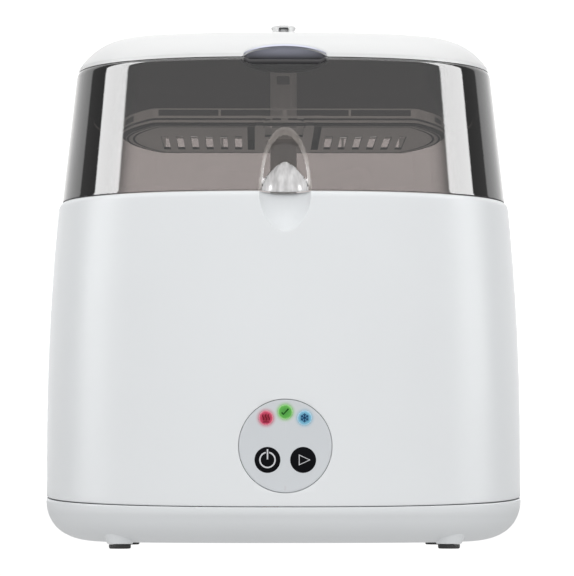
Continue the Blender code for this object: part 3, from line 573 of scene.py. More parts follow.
BOARD_GREEN = plastic("board_mask", (0.02, 0.16, 0.06), 0.35, variation=0.1, tint=board_traces)
# Painted light: the grip's colour is a painted gradient, pale for mirrored light above the crease and dark
# for shade below it.
POCKET_PAINTED_SMOKE = plastic("grip_smoke_painted_light", (0.115, 0.115, 0.13), 0.30, waviness=0.01, coat=0.15, specular=0.2,
                       tint=pocket_painted_light)
SMOKE = smoke_plastic("smoke_window", (0.645, 0.622, 0.615), (0.16, 0.15, 0.145))
# Painted light: the dome's milky white stands in for the bright reflections in its clear smoke.
DOME_PAINTED_SMOKE = smoke_plastic("smoke_dome_painted_light", (0.70, 0.69, 0.69), (0.30, 0.29, 0.29), roughness=0.10,
                            painted_haze=(0.74, 1.2, (0.95, 0.94, 0.94)))
# Painted highlight: a paler band of smoke that outlines the niche where its edge catches the side lights.
RIM_PAINTED_SMOKE = smoke_plastic("smoke_rim_painted_highlight", (0.66, 0.64, 0.63), (0.40, 0.38, 0.37), roughness=0.35,
                          painted_haze=(0.17, 0.12, (0.80, 0.73, 0.68)))
# The tray's glow is painted light: an emission that brightens the tray and its floor.
TRAY_PLASTIC = plastic("tray_plastic", (0.72, 0.70, 0.67), 0.36, waviness=0.03, texture=0.02, glow=0.15)
# Painted shade: a dark copy of the tray's plastic for its recesses.
TRAY_PAINTED_SHADE = plastic("tray_painted_shade", (0.15, 0.15, 0.16), 0.5, variation=0.04)
STEEL = metal("brushed_steel", (0.60, 0.60, 0.61), 0.30, (1.0, 12.0, 1.0))
PLATE_STEEL = metal("plate_steel", (0.62, 0.61, 0.60), 0.34, turned=True)


# ---------------------------------------------------------------- base

def seam_height(value, y):
    """A row height that follows the sloping seam near the seam and turns level above and below it."""
    part = 1.0 - min(abs(value - SEAM_Z) / (SEAM_FADE_Z - SEAM_Z), 1.0)
    return value + part * SEAM_SLOPE * y


def rounded_lip(depth, lip):
    """A depth that fades in smoothly from nothing across a lip, instead of starting at a crease."""
    return 0.5 * (depth + math.sqrt(depth * depth + lip * lip)) - 0.02


def scoop_depth(x, z):
    """How far the finger scoop sinks into the housing's front."""
    half_width, height, deep = SCOOP
    inside = 1 - (x / half_width) ** 2 - (max(RIM_Z - z, 0.0) / height) ** 2
    return rounded_lip(math.copysign(abs(inside) ** 0.62, inside) * deep, 0.7)


def scooped(x, y, z, wall=0.0):
    """Moves a point on the front of the housing or the tub back to the scoop's surface."""
    if y > 0 or abs(x) > 1.6 * SCOOP[0] or z < RIM_Z - 1.5 * SCOOP[1]:
        return x, y, z
    depth = scoop_depth(x, z)
    if wall == 0.0:
        return x, y + max(depth, 0.0), z
    return x, max(y, skin_y(x, base_half_width(min(z, RIM_Z))) + depth + wall), z


def housing_sections():
    """(height, half width, wall kept behind the scoop) from the seam up the outside and down the inside."""
    rows = []
    edge = [(0.0, 0.7), (0.12, 0.3), (0.4, 0.07)]  # lift and inset
    edge += [(lift, 0.0) for lift in (0.8, 2.5, 6.0, 12.0, 19.0)]
    for lift, inset in edge:
        z = SEAM_Z + lift
        rows.append((z, base_half_width(z) - inset, 0.0))
    z = SEAM_FADE_Z
    while z < FINE_ROWS_Z:
        rows.append((z, base_half_width(z), 0.0))
        z += 6.2
    while z < RIM_Z - SHOULDER - 0.3:
        rows.append((z, base_half_width(z), 0.0))
        z += 0.9
    for step in range(9):
        angle = math.pi / 2 * step / 8
        inset = SHOULDER * 0.6 * (1 - math.cos(angle))
        z = RIM_Z - SHOULDER + SHOULDER * math.sin(angle)
        rows.append((z, base_half_width(z) - inset, 0.0))
    rows.append((RIM_Z, MOUTH_HALF_WIDTH + 0.7, WALL - 0.7))
    rows.append((RIM_Z - 0.2, MOUTH_HALF_WIDTH + 0.2, WALL - 0.2))
    rows.append((RIM_Z - 0.7, MOUTH_HALF_WIDTH, WALL))
    rows.append((RIM_Z - WALL, MOUTH_HALF_WIDTH, WALL))
    rows.append((RIM_Z - WALL, base_half_width(RIM_Z) - WALL - 1.5, WALL))
    z = RIM_Z - SHOULDER - 0.4
    while z > FINE_ROWS_Z:
        rows.append((z, base_half_width(z) - WALL, WALL))
        z -= 1.8
    for z in (180.0, 160.0, 130.0, 100.0, 80.0, SEAM_FADE_Z, 45.0, SEAM_Z):
        rows.append((z, base_half_width(z) - WALL, WALL))
    return rows


def housing_ring(z, half, wall):
    ring = []
    for angle in ANGLES:
        x, y = section(angle, half)
        height = seam_height(z, y) if z < SEAM_FADE_Z else z
        ring.append(scooped(x, y, height, wall))
    return ring


def base_housing():
    rings = [housing_ring(*row) for row in housing_sections()]
    housing = new_object("housing_shell", skin(rings, wrap=True), WHITE)
    centre = middle("control_panel")
    hole = rod(radius_of("control_panel") + GAP, 0, 30, sides=128)
    combine(housing, turned_to_front(hole, 0, centre.y + 10, centre.z))
    for side in ("left", "right"):
        low, high = span("hinge_bracket_" + side)
        room = (low.x - GAP, high.x + GAP, low.y - GAP, low.y + 40, low.z - GAP, low.z + 40)
        combine(housing, blocks([room], 1.2))
    at = middle("cord_gland")
    combine(housing, turned_to_front(rod(5.3, 0, 40, sides=48), at.x, 125, at.z))
    soften(housing, 0.35, 2, 50.0)
    return place(housing, "base", "white", "base_housing")


def pan_ring(z, half, share=1.0):
    ring = []
    for angle in ANGLES:
        x, y = on_oval(angle, half, half - WIDTH_LESS_DEPTH * share)
        slope = 1.0 - min(max((SEAM_Z - z) / 14.0, 0.0), 1.0)
        ring.append((x, y, z + slope * SEAM_SLOPE * y))
    return ring


def pan_sections():
    """(height, half width) from the seam down to the bottom of the belly."""
    top = SEAM_Z - SEAM_GAP
    rows = []
    for drop, inset in ((0.0, 0.8), (0.1, 0.35), (0.35, 0.08), (0.7, 0.0), (1.6, 0.0)):
        rows.append((top - drop, base_half_width(top - drop) - inset))
    bottom = BELLY_START_Z - BELLY_HEIGHT
    steps = 22
    for step in range(steps, -1, -1):
        z = bottom + (top - 3.0 - bottom) * (1 - math.cos(math.pi / 2 * step / steps))
        rows.append((z, base_half_width(z)))
    return rows


def base_pan():
    """The rolled underside with its floor, inside and out, and the four bosses that carry the feet."""
    bottom = BELLY_START_Z - BELLY_HEIGHT
    floor_half = base_half_width(bottom)
    outer = [pan_ring(z, half) for z, half in pan_sections()]
    outer += [pan_ring(bottom, floor_half * share, share) for share in (0.8, 0.5, 0.25)]
    inner = [pan_ring(bottom + WALL, (floor_half - WALL) * share, share) for share in (0.25, 0.5, 0.8)]
    inner += [pan_ring(z, half - WALL) for z, half in reversed(pan_sections()[2:]) if z > bottom + WALL + 2]
    bm = two_skins(outer, inner)
    pan = new_object("belly_pan", bm, WHITE)
    for corner in CORNERS:
        centre = middle("foot_pad_" + corner)
        combine(pan, spun(BOSS_OUTLINE, centre.xy, 56), "UNION")
    for corner in CORNERS:
        centre = middle("base_screw_" + corner)
        combine(pan, rod(5.0, 8.0, 20.0, centre.xy, 32), "UNION")
        combine(pan, rod(3.4, -5.0, 8.0, centre.xy, 32))
    soften(pan, 0.5, 2, 35.0, crease=45.0)
    return place(pan, "base", "white", "base_pan")


def two_skins(outer, inner, material_inside=0):
    """A shell from outer rings that run to the middle and inner rings that run back out from it."""
    rings = outer + inner
    bm = bmesh.new()
    layers = [[bm.verts.new(point) for point in ring] for ring in rings]
    count = len(rings[0])
    for index, lower in enumerate(layers):
        upper = layers[(index + 1) % len(layers)]
        if index == len(outer) - 1:
            bm.faces.new(lower)
            bm.faces.new(list(reversed(upper))).material_index = material_inside
            continue
        inside = len(outer) <= index < len(layers) - 1
        for i in range(count):
            j = (i + 1) % count
            face = bm.faces.new((lower[i], lower[j], upper[j], upper[i]))
            face.material_index = material_inside if inside else 0
    return bm


BOSS_OUTLINE = [(0.0, 2.9), (7.2, 2.9), (7.75, 3.1), (8.1, 3.7), (8.9, 6.0), (10.0, 10.0), (11.0, 15.0),
                (0.0, 15.0)]


def foot_pads():
    for corner in CORNERS:
        centre = middle("foot_pad_" + corner)
        radius = radius_of("foot_pad_" + corner)
        outline = [(0.0, 0.25), (radius - 2.4, 0.25), (radius - 2.0, 0.0), (radius - 0.9, 0.0),
                   (radius - 0.3, 0.2), (radius, 0.8), (radius, 2.6), (2.9, 2.6), (2.9, 12.0), (0.0, 12.0)]
        pad = new_object("pad_" + corner, spun(outline, centre.xy, 48), RUBBER)
        place(pad, "base", "rubber", "foot_pad_" + corner)


def base_screws():
    """Cross-head screws sunk in the pan."""
    for corner in CORNERS:
        low, high = span("base_screw_" + corner)
        centre = (low + high) / 2
        head = (high.x - low.x) / 2
        outline = [(0.0, low.z), (head - 0.9, low.z), (head - 0.3, low.z + 0.3), (head, low.z + 1.0),
                   (head, low.z + 2.6), (1.5, low.z + 2.9), (1.5, high.z - 1.2), (0.4, high.z), (0.0, high.z)]
        screw = new_object("case_screw_" + corner, spun(outline, centre.xy, 32), STEEL)
        for a, b in ((1.7, 0.35), (0.35, 1.7)):
            arm = (centre.x - a, centre.x + a, centre.y - b, centre.y + b, low.z - 1, low.z + 1.5)
            combine(screw, blocks([arm]))
        soften(screw, 0.08, 1, 50.0)
        place(screw, "base", "steel", "base_screw_" + corner)


# ---------------------------------------------------------------- chamber

def chamber_tub():
    """The deep liner with its hanging flange, drawn back where the finger scoop comes through."""
    lip = tub_high.x - 1.6
    top_half = lip - 1.8
    floor_half = top_half - 8.2
    flange = RIM_Z - WALL - GAP
    floor_z = tub_low.z
    behind = WALL + GAP
    outer = []
    for inset, lift in ((4.0, 0.0), (2.2, 0.6), (0.8, 2.4), (0.0, 5.0)):
        outer.append((floor_half - inset, floor_z + lift, behind))
    steps = 34
    for step in range(1, steps + 1):
        share = step / steps
        z = floor_z + 5.0 + (flange - 2.2 - floor_z - 5.0) * (1 - (1 - share) ** 1.8)
        rise = (z - floor_z - 5) / (flange - 7.2 - floor_z)
        outer.append((floor_half + (top_half - floor_half) * rise, z, behind))
    for half, z in ((lip + 1.2, flange - 2.0), (lip + 1.6, flange - 1.6), (lip + 1.6, flange - 0.3),
                    (lip + 1.3, flange), (lip, flange + 0.1), (lip, RIM_Z - 0.8), (lip - 0.3, RIM_Z - 0.2)):
        outer.append((half, z, behind))
    inner = [(top_half - 1.8, RIM_Z - 0.2, behind + 2.0), (top_half - 2.0, RIM_Z - 0.6, behind + 2.0)]
    for step in range(steps + 1):
        share = step / steps
        z = RIM_Z - 1.0 - (RIM_Z - floor_z - 9.0) * share ** 1.8
        rise = (z - floor_z - 6) / (RIM_Z - 7 - floor_z)
        inner.append((floor_half - 2 + (top_half - floor_half) * rise, z, behind + 2.0))
    inner += [(floor_half - 2.9, floor_z + 4.2, 5.0), (floor_half - 4.2, floor_z + 2.6, 5.0),
              (floor_half - 6.0, floor_z + 2.0, 5.0)]
    hole = radius_of("heating_plate") - 5.0
    rows = [tub_ring(*row) for row in outer + inner]
    for share in (0.5, 1.0):
        rows.append(toward_round(floor_half - 6.0, hole, floor_z + 2.0, share))
    rows.append(toward_round(floor_half - 4.0, hole, floor_z, 1.0))
    rows.append(toward_round(floor_half - 4.0, hole, floor_z, 0.5))
    tub = new_object("chamber_liner", skin(rows, wrap=True), SATIN)
    relief = []
    for side in ("left", "right"):
        low, high = span("hinge_bracket_" + side)
        relief.append((low.x - 0.8, high.x + 0.8, low.y - GAP, low.y + 30, low.z - 1.8, low.z + 30))
    combine(tub, blocks(relief))
    soften(tub, 0.25, 1, 55.0, crease=45.0)
    return place(tub, "base", "liner", "chamber_tub")


def tub_ring(half, z, wall):
    return [scooped(*section(angle, half), z, wall) for angle in ANGLES]


def toward_round(half, radius, z, share):
    """A ring part of the way from an oval section in to a round hole."""
    ring = []
    for angle in ANGLES:
        x, y = section(angle, half)
        bearing = math.atan2(y, x)
        across = radius * math.cos(bearing) - x
        along = radius * math.sin(bearing) - y
        ring.append((x + across * share, y + along * share, z))
    return ring


def heater():
    """The chamber's round steel floor, dished inside a rolled bead."""
    radius = radius_of("heating_plate")
    low, top = plate_low.z, plate_high.z
    outline = [(0.0, low), (radius - 7.5, low), (radius - 6.6, low + 0.4)]
    bead = ((6.0, 1.45), (0.5, 1.45), (0.0, 1.1), (0.0, 0.4), (0.5, 0.0), (4.4, 0.0), (5.4, 0.25), (6.6, 0.9),
            (8.6, 1.1))
    outline += [(radius - inset, top - drop) for inset, drop in bead]
    ring = ((24.0, 1.15), (23.0, 0.85), (20.6, 0.85), (19.6, 1.15), (0.0, 1.2))
    outline += [(r, top - drop) for r, drop in ring]
    plate = new_object("steam_plate", spun(outline, sides=128), PLATE_STEEL)
    place(plate, "base", "steel", "heating_plate")


# ---------------------------------------------------------------- control panel

def control_panel():
    """The round panel: a softly edged disc let into the housing, with holes for buttons and lenses."""
    radius = radius_of("control_panel")
    centre = middle("control_panel")
    thick = panel_high.y - panel_low.y
    outline = [(0.0, 0.0), (radius - 0.2, 0.0), (radius, 0.2), (radius, thick - 0.45),
               (radius - 0.12, thick - 0.16), (radius - 0.45, thick), (radius - 1.6, thick - 0.10),
               (0.0, thick - 0.10)]
    face = turned_to_front(spun(outline, sides=144), centre.x, panel_high.y, centre.z)
    panel = new_object("panel_disc", face, PANEL)
    holes = [(*middle(side + "_button").xz, BUTTON_RADIUS + GAP) for side in ("power", "start")]
    holes += [(x, z, LENS_RADIUS + 0.12) for x, z in LENS_PLACES.values()]
    bores = [turned_to_front(rod(hole, -10, 20), x, panel_high.y, z) for x, z, hole in holes]
    combine(panel, together(*bores))
    soften(panel, 0.12, 1, 50.0, crease=35.0)
    place(panel, "base", "panel", "control_panel")
    bead = [(-0.1, 0.0), (0.1, 1.6), (0.0, 3.0)]
    strokes = [[(x, centre.z - radius + 1.2 + z) for x, z in bead]]
    tick = inlay("panel_tick", strokes, 0.55, panel_low.y + 0.1, MARK_WHITE)
    place(tick, "base", "panel")


def inlay(name, strokes, half_width, face_y, finish, proud=0.09, closed=False):
    """A symbol in round-ended strokes, (x, z) points each, flattened onto a face that looks to the front."""
    curve = bpy.data.curves.new(name, "CURVE")
    curve.dimensions = "3D"
    curve.bevel_depth = half_width
    curve.bevel_resolution = 3
    curve.use_fill_caps = True
    for stroke in strokes:
        spline = curve.splines.new("POLY")
        spline.points.add(len(stroke) - 1)
        spline.use_cyclic_u = closed
        for point, (x, z) in zip(spline.points, stroke):
            point.co = (x, 0.0, z, 1.0)
    drawn = bpy.data.objects.new(name, curve)
    bpy.context.scene.collection.objects.link(drawn)
    graph = bpy.context.evaluated_depsgraph_get()
    bm = bmesh.new()
    bm.from_mesh(bpy.data.meshes.new_from_object(drawn.evaluated_get(graph)))
    bpy.data.objects.remove(drawn, do_unlink=True)
    bmesh.ops.remove_doubles(bm, verts=bm.verts, dist=1e-4)
    bmesh.ops.scale(bm, vec=(1.0, proud / half_width, 1.0), verts=bm.verts)
    bmesh.ops.translate(bm, vec=(0.0, face_y, 0.0), verts=bm.verts)
    return new_object(name, bm, finish)


def arc(x, z, radius, start, end, steps=40):
    turns = [start + (end - start) * step / steps for step in range(steps + 1)]
    return [(x + radius * math.sin(turn), z + radius * math.cos(turn)) for turn in turns]


def push_buttons():
    """Black button caps with a hidden flange and stem; each carries its symbol."""
    for side in ("power", "start"):
        body = side + "_button"
        low, high = span(body)
        at = (low + high) / 2
        reach = high.y - low.y
        flange = panel_high.y + GAP - low.y
        rim = BUTTON_RADIUS + 1.6
        outline = [(0.0, 0.0), (BUTTON_RADIUS - 0.8, 0.03), (BUTTON_RADIUS - 0.3, 0.12), (BUTTON_RADIUS, 0.5),
                   (BUTTON_RADIUS, flange), (rim, flange), (rim, flange + 1.2),
                   (1.8, flange + 1.2), (1.8, reach - 0.3), (1.5, reach), (0.0, reach)]
        cap = turned_to_front(spun([(r, -h) for r, h in outline], sides=72), at.x, low.y, at.z)
        place(new_object(side + "_cap", cap, BUTTON_BLACK), body, "button", body)
        face = low.y + 0.03
        if side == "power":
            ring = arc(at.x, at.z, 4.55, math.radians(13), math.radians(347))
            line = [(at.x, at.z + 6.4), (at.x, at.z + 0.3)]
            mark = inlay("power_mark", [ring, line], 0.46, face, MARK_WHITE)
        else:
            corners = [(at.x - 2.35, at.z + 2.95), (at.x - 2.35, at.z - 2.95), (at.x + 4.0, at.z)]
            mark = inlay("start_mark", [corners], 0.46, face, MARK_WHITE, closed=True)
        place(mark, body, "button")


def lamp_lenses():
    """Slightly crowned lenses, each with a generic symbol: rising steam, a check and a snowflake."""
    for name, (x, z) in LENS_PLACES.items():
        low, high = span(name + "_lens")
        depth = high.y - low.y
        outline = [(0.0, 0.0), (LENS_RADIUS, 0.0), (LENS_RADIUS, depth - 0.25),
                   (LENS_RADIUS - 0.2, depth - 0.12), (LENS_RADIUS * 0.6, depth - 0.02), (0.0, depth)]
        lens = turned_to_front(spun(outline, sides=56), x, high.y, z)
        slot = {"heat": "lens_red", "ready": "lens_green", "cool": "lens_blue"}[name]
        place(new_object(name + "_cover", lens, lit_lens(name)), "base", slot, name + "_lens")
        colour = plastic(name + "_ink", ICON_COLOURS[name], 0.5, variation=0.08, specular=0.15)
        strokes, width = icon_strokes(name, x, z)
        place(inlay(name + "_icon", strokes, width, low.y + 0.02, colour), "base", slot)


def icon_strokes(name, x, z):
    """A lamp's symbol as strokes round (x, z), and half their width."""
    if name == "heat":
        waves = []
        for left in (x - 1.7, x, x + 1.7):
            parts = [t / 16 for t in range(17)]
            waves.append([(left + 0.4 * math.sin(FULL_TURN * t), z - 1.5 + 3.6 * t) for t in parts])
        waves.append([(x - 2.0, z - 2.5), (x + 2.0, z - 2.5)])
        return waves, 0.27
    if name == "ready":
        return [[(x - 2.2, z - 0.3), (x - 1.2, z - 1.5), (x + 1.9, z + 1.9)]], 0.52
    arms = []
    for turn in range(6):
        angle = FULL_TURN * turn / 6
        s, c = math.sin(angle), math.cos(angle)
        arms.append([(x, z), (x + 2.75 * s, z + 2.75 * c)])
        for lean in (-1, 1):
            tip = angle + lean * 0.36
            arms.append([(x + 1.5 * s, z + 1.5 * c), (x + 2.35 * math.sin(tip), z + 2.35 * math.cos(tip))])
    return arms, 0.24


# ---------------------------------------------------------------- rack, post and tray

def lower_rack():
    """The bottle rack: a plate with six rimmed bays, on four legs, round the post's socket."""
    low, top = rack_low.z, rack_low.z + 18.7
    half = rack_high.x
    under = top - 3.0
    rings = []
    edge = ((0.0, 1.0), (0.25, 0.3), (0.8, 0.0))  # away from a face, and inset
    outer = [(under + away, inset) for away, inset in edge]
    outer += [(top - away, inset) for away, inset in reversed(edge)]
    for z, inset in outer:
        rings.append([(*section(a, half - inset), z) for a in EVEN_ANGLES])
    rack = new_object("bottle_rack", skin(rings, cap_start=True, cap_end=True), RACK)
    rim = BAY_RADIUS + 1.6
    bead = [(0.0, under + 1), (rim, under + 1), (rim, top + 2.4), (rim - 0.6, top + 3.0), (0.0, top + 3.0)]
    beads = [spun(bead, bay, 80) for bay in BAYS]
    leg = [(0.0, low), (3.2, low), (3.8, low + 0.5), (4.0, low + 1.2), (4.0, under - 1.5), (5.2, under + 0.5),
           (0.0, under + 0.5)]
    legs = [spun(leg, spot, 32) for spot in LEGS]
    combine(rack, together(*beads, *legs, hub(under + 1, rack_high.z)), "UNION")
    bays = [rod(BAY_RADIUS, low, top + 9, bay, 80) for bay in BAYS]
    combine(rack, together(*bays, rod(POST_RADIUS + GAP, low, rack_high.z + 5)))
    soften(rack, 0.45, 2, 40.0)
    place(rack, "rack", "rack", "lower_rack")


def hub(low, high):
    """The round boss that the post runs through, on the rack and on the tray."""
    outline = [(0.0, low), (HUB_RADIUS, low), (HUB_RADIUS, high - 0.8), (HUB_RADIUS - 0.8, high), (0.0, high)]
    return spun(outline, sides=64)


def rack_post():
    """The upright post: a shoulder that carries the tray, and a finger slot near its rounded top."""
    shoulder = post_high.x
    foot, top = post_low.z, post_high.z
    rest = tray_low.z - GAP
    outline = [(0.0, foot), (POST_RADIUS - 0.5, foot), (POST_RADIUS, foot + 0.5), (POST_RADIUS, rest - 3.7),
               (shoulder - 0.5, rest - 2.8), (shoulder, rest - 2.2), (shoulder, rest - 0.4),
               (shoulder - 0.4, rest), (POST_RADIUS, rest)]
    rounding = 2.6
    for step in range(7):
        turn = math.pi / 2 * step / 6
        rise = rounding * math.sin(turn)
        outline.append((POST_RADIUS - rounding * (1 - math.cos(turn)), top - rounding + rise))
    outline.append((0.0, top))
    post = new_object("lift_post", spun(outline, sides=72), RACK)
    combine(post, blocks([POST_SLOT], 1.2))
    soften(post, 0.4, 2, 45.0)
    place(post, "rack", "rack", "rack_post")


def tray_plan(inset):
    """The tray's plan, drawn in: bulging ends that run smoothly into round corners, and straight sides."""
    half_width, half_depth = tray_high.x - inset, tray_high.y - inset
    radius = max(TRAY_CORNER - inset, 1.0)
    lean = 0.5
    for _ in range(5):
        end_y = half_depth - radius + radius * math.sin(lean)
        lean = math.atan(2 * TRAY_BULGE * end_y / tray_high.y ** 2)
    corner_x = half_width - TRAY_BULGE * (end_y / tray_high.y) ** 2 - radius * math.cos(lean)
    quarter = []
    for step in range(12):
        y = end_y * step / 12
        quarter.append((half_width - TRAY_BULGE * (y / tray_high.y) ** 2, y))
    for step in range(9):
        turn = lean + (math.pi / 2 - lean) * step / 8
        quarter.append((corner_x + radius * math.cos(turn), half_depth - radius + radius * math.sin(turn)))
    back = [(-x, y) for x, y in reversed(quarter)]
    front = [(-x, -y) for x, y in quarter[1:]]
    return quarter + back + front + [(x, -y) for x, y in reversed(quarter[1:])]


TRAY_DECK = 1.5
TRAY_OUTSIDE = (  # inset and height over the tray's foot, from under the floor to the top of the steps
    (16.0, 0.0), (9.2, 0.0), (8.9, 1.0), (7.9, 1.0), (7.6, 0.0), (5.3, 0.0), (5.0, 1.1), (4.0, 1.1),
    (3.7, 0.0), (3.2, 0.15), (2.9, 0.5), (2.9, 1.4), (0.7, 1.9), (0.6, 2.1), (0.6, 3.3), (1.9, 3.6),
    (1.9, 4.3), (0.6, 4.6), (0.6, 5.6), (0.9, 5.9), (1.5, 6.0))
TRAY_RAIL = (  # inset and depth under the rim
    (1.5, 0.6), (0.5, 0.55), (0.3, 0.4), (0.3, 0.2), (0.6, 0.0), (2.3, 0.0), (2.6, 0.3))
TRAY_INSIDE = ((2.9, 1.2), (3.3, 0.35), (4.1, 0.0), (16.0, 0.0))  # inset and height over the deck
RIB_X, RIDGE_X, FRONT_GROOVE_X = 15.6, 20.8, 9.8


def upper_tray():
    """The small-parts tray: a slotted floor, a stepped rim, and ribs and covered grooves beside the post."""
    floor, rim = tray_low.z, tray_low.z + 10.7
    profile = [(inset, floor + lift) for inset, lift in TRAY_OUTSIDE]
    profile += [(inset, rim - drop) for inset, drop in TRAY_RAIL]
    profile += [(inset, floor + TRAY_DECK + lift) for inset, lift in TRAY_INSIDE]
    rings = [[(x, y, z) for x, y in tray_plan(inset)] for inset, z in profile]
    tray = new_object("parts_tray", skin(rings, cap_start=True, cap_end=True), TRAY_PLASTIC)
    width, front, back = TRAY_SLOT
    depth = tray_high.y
    ribs = []
    ridges = []
    grooves = []
    slots = []
    for side in (-1, 1):
        rib, ridge, groove = side * RIB_X, side * RIDGE_X, side * FRONT_GROOVE_X
        ribs.append((rib - 2.4, rib + 2.4, 0.6 - depth, depth - 8, floor, floor + 6.5))
        ridges.append((ridge - 3.2, ridge + 3.2, 6 - depth, 54.0, floor + 0.6, floor + 7.0))
        grooves.append((ridge - 2.3, ridge + 2.3, -depth + 4.6, 50.0, floor - 9, floor + 5.8))
        grooves.append((groove - 2.2, groove + 2.2, 5.0 - depth, -16.0, floor - 9, floor + 4))
        for x in TRAY_SLOT_X:
            slots.append((side * x - width / 2, side * x + width / 2, front, back, floor - 9, floor + 9))
    for added in (blocks(ribs), blocks(ridges), hub(floor, tray_high.z)):
        combine(tray, added, "UNION")
    combine(tray, rod(POST_RADIUS + GAP, floor - 5, floor + 30))
    combine(tray, blocks(grooves + slots))
    combine(tray, blocks(tray_ports(floor, rim, depth)))
    soften(tray, 0.3, 2, 50.0)
    paint_recess_shade(tray)
    place(tray, "tray", "rack", "upper_tray")


def tray_ports(floor, rim, depth):
    """Small windows under the front step, and long ones that leave a thin rail along each side."""
    places = (-FRONT_GROOVE_X, 0.0, FRONT_GROOVE_X)
    ports = [(x - 2.2, x + 2.2, -depth - 5, 7 - depth, floor + 2.6, floor + 4.6) for x in places]
    low, high = floor + 6.2, rim - 0.6
    for side in (-1, 1):
        for near, far in ((1.0, 39.5), (41.0, 78.0)):
            across = sorted((side * near, side * far))
            ports.append((*across, -depth - 5, 6 - depth, low, high))
            ports.append((*across, depth - 6, depth + 5, floor + 4.2, high))
        across = sorted((side * 88.0, side * 120.0))
        ports += [(*across, y - 13.5, y + 13.5, low, high) for y in (-30.0, 0.0, 30.0)]
    return ports


def paint_recess_shade(tray):
    """Paints shade on the tray's blind grooves, slot walls and rim steps: a darker copy of its plastic where
    light misses.
    """
    tray.data.materials.append(TRAY_PAINTED_SHADE)
    dark = len(tray.data.materials) - 1
    for face in tray.data.polygons:
        x, y, z = face.center / MM
        lift = z - tray_low.z
        in_step = face.normal.z < 0.7 and (0.3 < lift < 1.75 or 3.35 < lift < 4.55)
        beside_post = min(abs(abs(x) - FRONT_GROOVE_X), abs(abs(x) - RIDGE_X)) < 2.35
        if in_step or beside_post and 0.1 < lift < 5.9 and y > 4.5 - tray_high.y:
            face.material_index = dark


# ---------------------------------------------------------------- lid

def arched(x, z, size, power):
    """1 at the foot of the window's middle, falling to 0 along an arch of a half width and a height."""
    return 1 - (abs(x) / size[0]) ** power - (max(z - LID_FOOT_Z, 0.0) / size[1]) ** power


def niche_depth(x, z):
    """How far the niche sinks into the window's foot: a shallow bell with a deeper dome at its foot."""
    bell = arched(x, z, NICHE, NICHE_POWER)
    dome = arched(x, z, DOME, DOME_POWER)
    shallow = rounded_lip(math.copysign(abs(bell) ** 0.6, bell) * NICHE[2], 0.8)
    deep = rounded_lip(math.copysign(abs(dome) ** 0.75, dome) * DOME[2], 0.6)
    return shallow + deep


def window_top(x, y):
    """Height of the window's top edge: under the cap's edge, and lower across the grip pocket."""
    top = cap_edge_z(y) - GAP
    if y < 0:
        top -= 1.7 * (1 - smooth((abs(x) - 23.5) / 3.5))
    return top


def window_point(angle, level, inset, drop=0.0):
    """A point of the window's shell; levels run from 0 at the foot to 1 at the top edge."""
    split = 44.0
    x, y = section(angle, lid_half_width(LID_FOOT_Z))
    top = window_top(x, y)
    if level <= 0.5:
        z = LID_FOOT_Z + split * level * 2
    else:
        z = LID_FOOT_Z + split + (top - LID_FOOT_Z - split) * (level - 0.5) * 2
    z -= drop
    return (*section(angle, lid_half_width(z) - inset), z)


def niched(point, wall=0.0):
    x, y, z = point
    if y > 0 or abs(x) > 1.5 * NICHE[0] or z > LID_FOOT_Z + 1.3 * NICHE[1]:
        return point
    depth = niche_depth(x, z)
    return x, y + (depth if wall == 0.0 else max(depth, 0.0)), z


def over_pocket(x, z):
    """True on the stretch of the window that lies over the grip's bowl."""
    under = min(z - CREASE_Z + 0.8, 0.0)
    return z > CREASE_Z - 4.0 and (x / (POCKET[0] - 1.5)) ** 2 + (under / 3.4) ** 2 < 1


def lid_window():
    """The smoke shell: an edged foot, the niche, straight walls, a round shoulder and a top flange."""
    rows = []
    for lift, inset in ((0.0, 0.6), (0.12, 0.25), (0.35, 0.05)):
        rows.append([niched(window_lift(angle, lift, inset)) for angle in ANGLES])
    low_rows = 54
    for step in range(1, low_rows + 1):
        rows.append([niched(window_point(angle, 0.5 * step / low_rows, 0.0)) for angle in ANGLES])
    high_rows = 10
    inward, upward = WINDOW_SHOULDER
    for step in range(1, high_rows + 1):
        level = 0.5 + 0.5 * step / high_rows
        rows.append([window_point(angle, level, 0.0, upward * step / high_rows) for angle in ANGLES])
    for step in range(1, 8):
        bend = math.pi / 2 * step / 7
        inset = inward * (1 - math.cos(bend))
        rows.append([window_point(angle, 1.0, inset, upward * (1 - math.sin(bend))) for angle in ANGLES])
    rows.append([window_point(angle, 1.0, flange_reach(angle)) for angle in ANGLES])
    rows.append([window_point(angle, 1.0, flange_reach(angle), LID_WALL) for angle in ANGLES])
    for step in range(high_rows, 0, -1):
        drop = max(upward, LID_WALL) * step / high_rows
        rows.append([window_point(angle, 0.5 + 0.5 * step / high_rows, LID_WALL, drop) for angle in ANGLES])
    for step in range(low_rows, -1, -2):
        inside = [window_point(angle, 0.5 * step / low_rows, LID_WALL) for angle in ANGLES]
        rows.append([niched(point, LID_WALL) for point in inside])
    bm = skin(rows, wrap=True)
    for face in bm.faces:
        at = face.calc_center_median()
        if at.y > 0:
            continue
        # The niche's dome takes smoke whose milky white is painted light.
        if arched(at.x, at.z, DOME, DOME_POWER) > 0:
            face.material_index = 1
        # A band along the niche's outline takes smoke with a painted highlight.
        elif abs(arched(at.x, at.z, NICHE, NICHE_POWER) - 0.02) < 0.13:
            face.material_index = 3
        # The window over the grip's bowl takes the pocket's painted light and shade.
        elif over_pocket(at.x, at.z):
            face.material_index = 2
    window = new_object("smoke_shell", bm, SMOKE)
    for finish in (DOME_PAINTED_SMOKE, POCKET_PAINTED_SMOKE, RIM_PAINTED_SMOKE):
        window.data.materials.append(finish)
    return place(window, "lid", "smoke", "lid_window")


def window_lift(angle, lift, inset):
    """A point of the window's outside just over its foot, drawn in to round the edge."""
    z = LID_FOOT_Z + lift
    return (*section(angle, lid_half_width(z) - inset), z)


